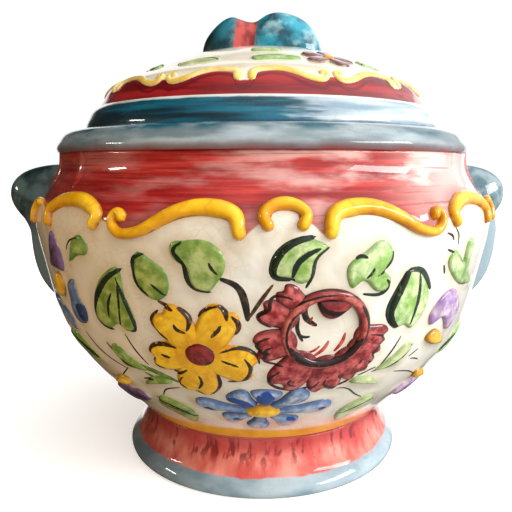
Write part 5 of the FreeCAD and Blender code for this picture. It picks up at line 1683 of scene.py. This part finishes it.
# azimuth, distance, length, width, heading and lit share of each leaf, which above 1 pales towards cream
LID_LEAVES = (
    (2, 30, 20, 7, 4, 1.1), (-1.5, 43, 13, 5, 0, 1.2), (-31, 30, 19, 6.5, 14, 1.5),
    (-64, 31, 20, 7, -8, 1.2))
LID_FLOWER_AT = (25.0, 31.0)
LID_FLOWER_PETALS = ((12.5, 7.4, 0), (11, 7, 70), (11.5, 7.4, 140), (12.5, 7.4, 205), (11, 7, 285))


def lid_sprig(outline, place, relief, lit_share, turn, vein=False):
    """A sprig on the dome, turned about the lid. A vein is a stroke along the drawing's own middle."""
    shape = lens(dome, outline, on_panel((place[0] + turn, place[1])), relief, 1.2, 0.3, 60, 12)
    brush = np.abs(shape["flat"][..., 1]) - 0.35 if vein else FAR
    return lens_skin(dome, shape, {"edge": shape["edge"], "brush": brush + 0 * shape["edge"],
                                   "lit_share": np.full_like(shape["edge"], lit_share)})


turns = [index * 360.0 / LID_REPEATS for index in range(LID_REPEATS)]
brown_violet_glaze = brushed_glaze(
    "petal_brown_violet", ((104, 66, 74), (146, 110, 112)), ((118, 78, 84), (166, 134, 134)),
    (80, 44, 50), (70, 38, 42), size=3.0, rim=(176, 156, 140))
lid_leaves = [lid_sprig(petal(-length / 2, length / 2, width, heading), (azimuth, distance), LEAF_LIFT,
                        lit_share, turn, vein=True)
              for turn in turns for azimuth, distance, length, width, heading, lit_share in LID_LEAVES]
lid_petals = [lid_sprig(petal(1.5, *size), LID_FLOWER_AT, PETAL_LIFT, 0.5, turn)
              for turn in turns for size in LID_FLOWER_PETALS]
lid_eyes = [lid_sprig(oval(6.0, 5.0), LID_FLOWER_AT, EYE_LIFT, 0.5, turn) for turn in turns]
make_piece("lid_painted_leaves", lid_leaves, leaf_glaze, "lid", ["lid_leaves"])
make_piece("lid_violet_petals", lid_petals, brown_violet_glaze, "lid", ["lid_flower_petals"])
make_piece("lid_yellow_eyes", lid_eyes, yellow_eye_glaze, "lid", ["lid_flower_eyes"])

# %% [markdown]
# ## Stems and loose strokes
# Now come the strokes that run over the bare wall: stems, tendrils, the forked twig over the flowers and
# the shading inside the rose. The outlines of leaves and petals are laid on the wall once more too, since
# half of such a stroke usually misses the sprig. Each is a film of colour, and lies on the wall's swell.

# %% Stems and loose strokes
BLACK_LINES = [
    (2.4, [(-7.8, 99.4), (-5, 97), (-3.4, 92), (-2.7, 83)]),
    (0.7, [(-30.2, 73.6), (-28.8, 67), (-26.1, 59.6)]),
    (0.7, [(30.8, 72.5), (29.5, 67), (27.1, 59.6)]),
    (0.7, [(-45.5, 69), (-41, 60), (-34, 54)]),
    (0.6, [(-33.6, 55.4), (-36.5, 51), (-39, 47.5)]),
    (0.7, [(-20, 48.5), (-24.5, 45.5), (-27, 40)]),
    (0.7, [(17.5, 49.5), (20, 48.5), (24, 43), (27.5, 39)]),
    (0.6, [(22, 56), (25, 58.2), (26.2, 59.2)]),
    (0.6, [(36, 60.5), (37.4, 62.2), (38.5, 63.5)]),
    (0.6, [(37, 59), (39.2, 58), (41, 56.5)]),
    (0.6, [(33, 53.5), (40, 50), (45, 45.5)]),
    (0.9, [(38.5, 112.5), (40.2, 111.4), (41, 109.3)]),
    (0.7, [(41.3, 114.4), (42.6, 111), (43, 107.3)]),
    (2, [(8.2, 90.4), (7.9, 87), (8.6, 83.4), (10.6, 80.8)]),
    (1.3, [(6.9, 85), (6.7, 80), (8, 74.6)]),
    (1, [(7.2, 77.6), (8.6, 76.4), (9.4, 76.6)]),
]
RED_LINES = [
    (1.3, [(13.3, 74.4), (12.4, 71), (10.3, 68)]),
    (1.3, [(16.6, 77.4), (16, 73), (14.6, 69.6)]),
    (1, [(9.6, 84.6), (9.2, 82.6), (10, 80.8)]),
    (0.9, [(11.6, 72.4), (10.4, 70.6), (8.8, 69.8)]),
]
BROWN_LINES = [(1.3, [(2, 97.4), (-0.5, 90.5), (-2.6, 84)])]
GREEN_LINES = [
    (2.2, [(-31, 60.4), (-26.5, 57.5), (-22.5, 55), (-19.4, 52.4)]),
    (1.4, [(-28.4, 55), (-26.4, 53.4), (-24.8, 51.6)]),
]
FILM = 0.16              # thickness of the colour, in millimetres


def wall_ground(azimuth, distance):
    """Height of the swollen wall beside the sprigs, for films that run up to them."""
    return wall_swell(nearest_edge(bowl, azimuth, distance, wall_edges))


def painted_line(points, width):
    """A stroke that runs over the bare wall, as a film of colour."""
    line, half = stroke_line(points, width, 30)
    return raised_band(bowl, line, half, FILM, around=10, fullness=0.5, ground=wall_ground)


def line_glaze(name, thick, thin):
    """The colour of a brushed line: thick here and thin there."""
    glaze = Recipe(name)
    share = glaze.blotches(2.4, 0.42, 0.68, detail=4.0)
    return glaze.finish(glaze.mix(share, thick, thin))


leaf_lines = gathered(LEAF_STROKES)
line_sets = {
    "black_strokes": (BLACK_LINES, line_glaze("line_black", wash(20, 18, 16), wash(66, 52, 40))),
    "red_strokes": (RED_LINES, line_glaze("line_red", wash(150, 34, 34), wash(198, 96, 80))),
    "brown_strokes": (BROWN_LINES, line_glaze("line_brown", wash(50, 30, 20), wash(96, 66, 44))),
    "bottle_green_strokes": (leaf_lines, line_glaze("line_bottle_green", wash(8, 28, 18), wash(26, 56, 34))),
    "umber_strokes": (YELLOW_STROKES, line_glaze("line_umber", wash(44, 24, 12), wash(96, 62, 34))),
    "crimson_strokes": (RUFFLE_STROKES, line_glaze("line_crimson", wash(44, 8, 14), wash(104, 26, 34))),
    "green_strokes": (GREEN_LINES, line_glaze("line_green", wash(76, 108, 36), wash(120, 144, 70))),
}
for name, (lines, glaze) in line_sets.items():
    films = [painted_line(points, width) for width, points in lines]
    films += [half_turned(film) for film in films]
    make_piece(name, films, glaze, "pot")

# %% [markdown]
# ## The back panel
# The mould that pressed the front panel pressed the back one too, so every front skin turns half a turn
# round the pot's axis. Nothing is modelled twice.

# %% The back panel
# name: front skins, glaze, slot and the node that it stands for
BACK = {
    "back_yellow_scrolls": (gathered(scrolls), scroll_glaze, "yellow_glaze", "back_scrolls"),
    "back_painted_leaves": (gathered(leaves), leaf_glaze, "green_glaze", "back_leaves"),
    "back_violet_buds": ([part for node, parts in buds.items() if "blue" not in node for part in parts],
                         violet_glaze, "violet_glaze", "back_buds"),
    "back_slate_buds": (buds["bud_blue_left"], slate_glaze, "cobalt_glaze", "back_buds"),
    "back_painted_bases": (gathered(bases), yellow_eye_glaze, "yellow_glaze", "back_bud_bases"),
    "back_sunny_petals": (yellow_petals, yellow_glaze, "yellow_glaze", "back_yellow_petals"),
    "back_cobalt_petals": (blue_petals, blue_glaze, "cobalt_glaze", "back_blue_petals"),
    "back_rose_rim": (rose_ring, ring_glaze, "rose_glaze", "back_rose_ring"),
    "back_rose_frill": (rose_ruffles, ruffle_glaze, "crimson_glaze", "back_rose_ruffles"),
    "back_red_eye": (yellow_eye, red_eye_glaze, "crimson_glaze", "back_flower_eyes"),
    "back_yellow_eye": (blue_eye, yellow_eye_glaze, "yellow_glaze", "back_flower_eyes"),
    "back_rose_heart": (rose_bud, ruffle_glaze, "crimson_glaze", "back_flower_eyes"),
}
for name, (parts, glaze, slot_name, node) in BACK.items():
    make_piece(name, [half_turned(part) for part in parts], glaze, "pot", [node])
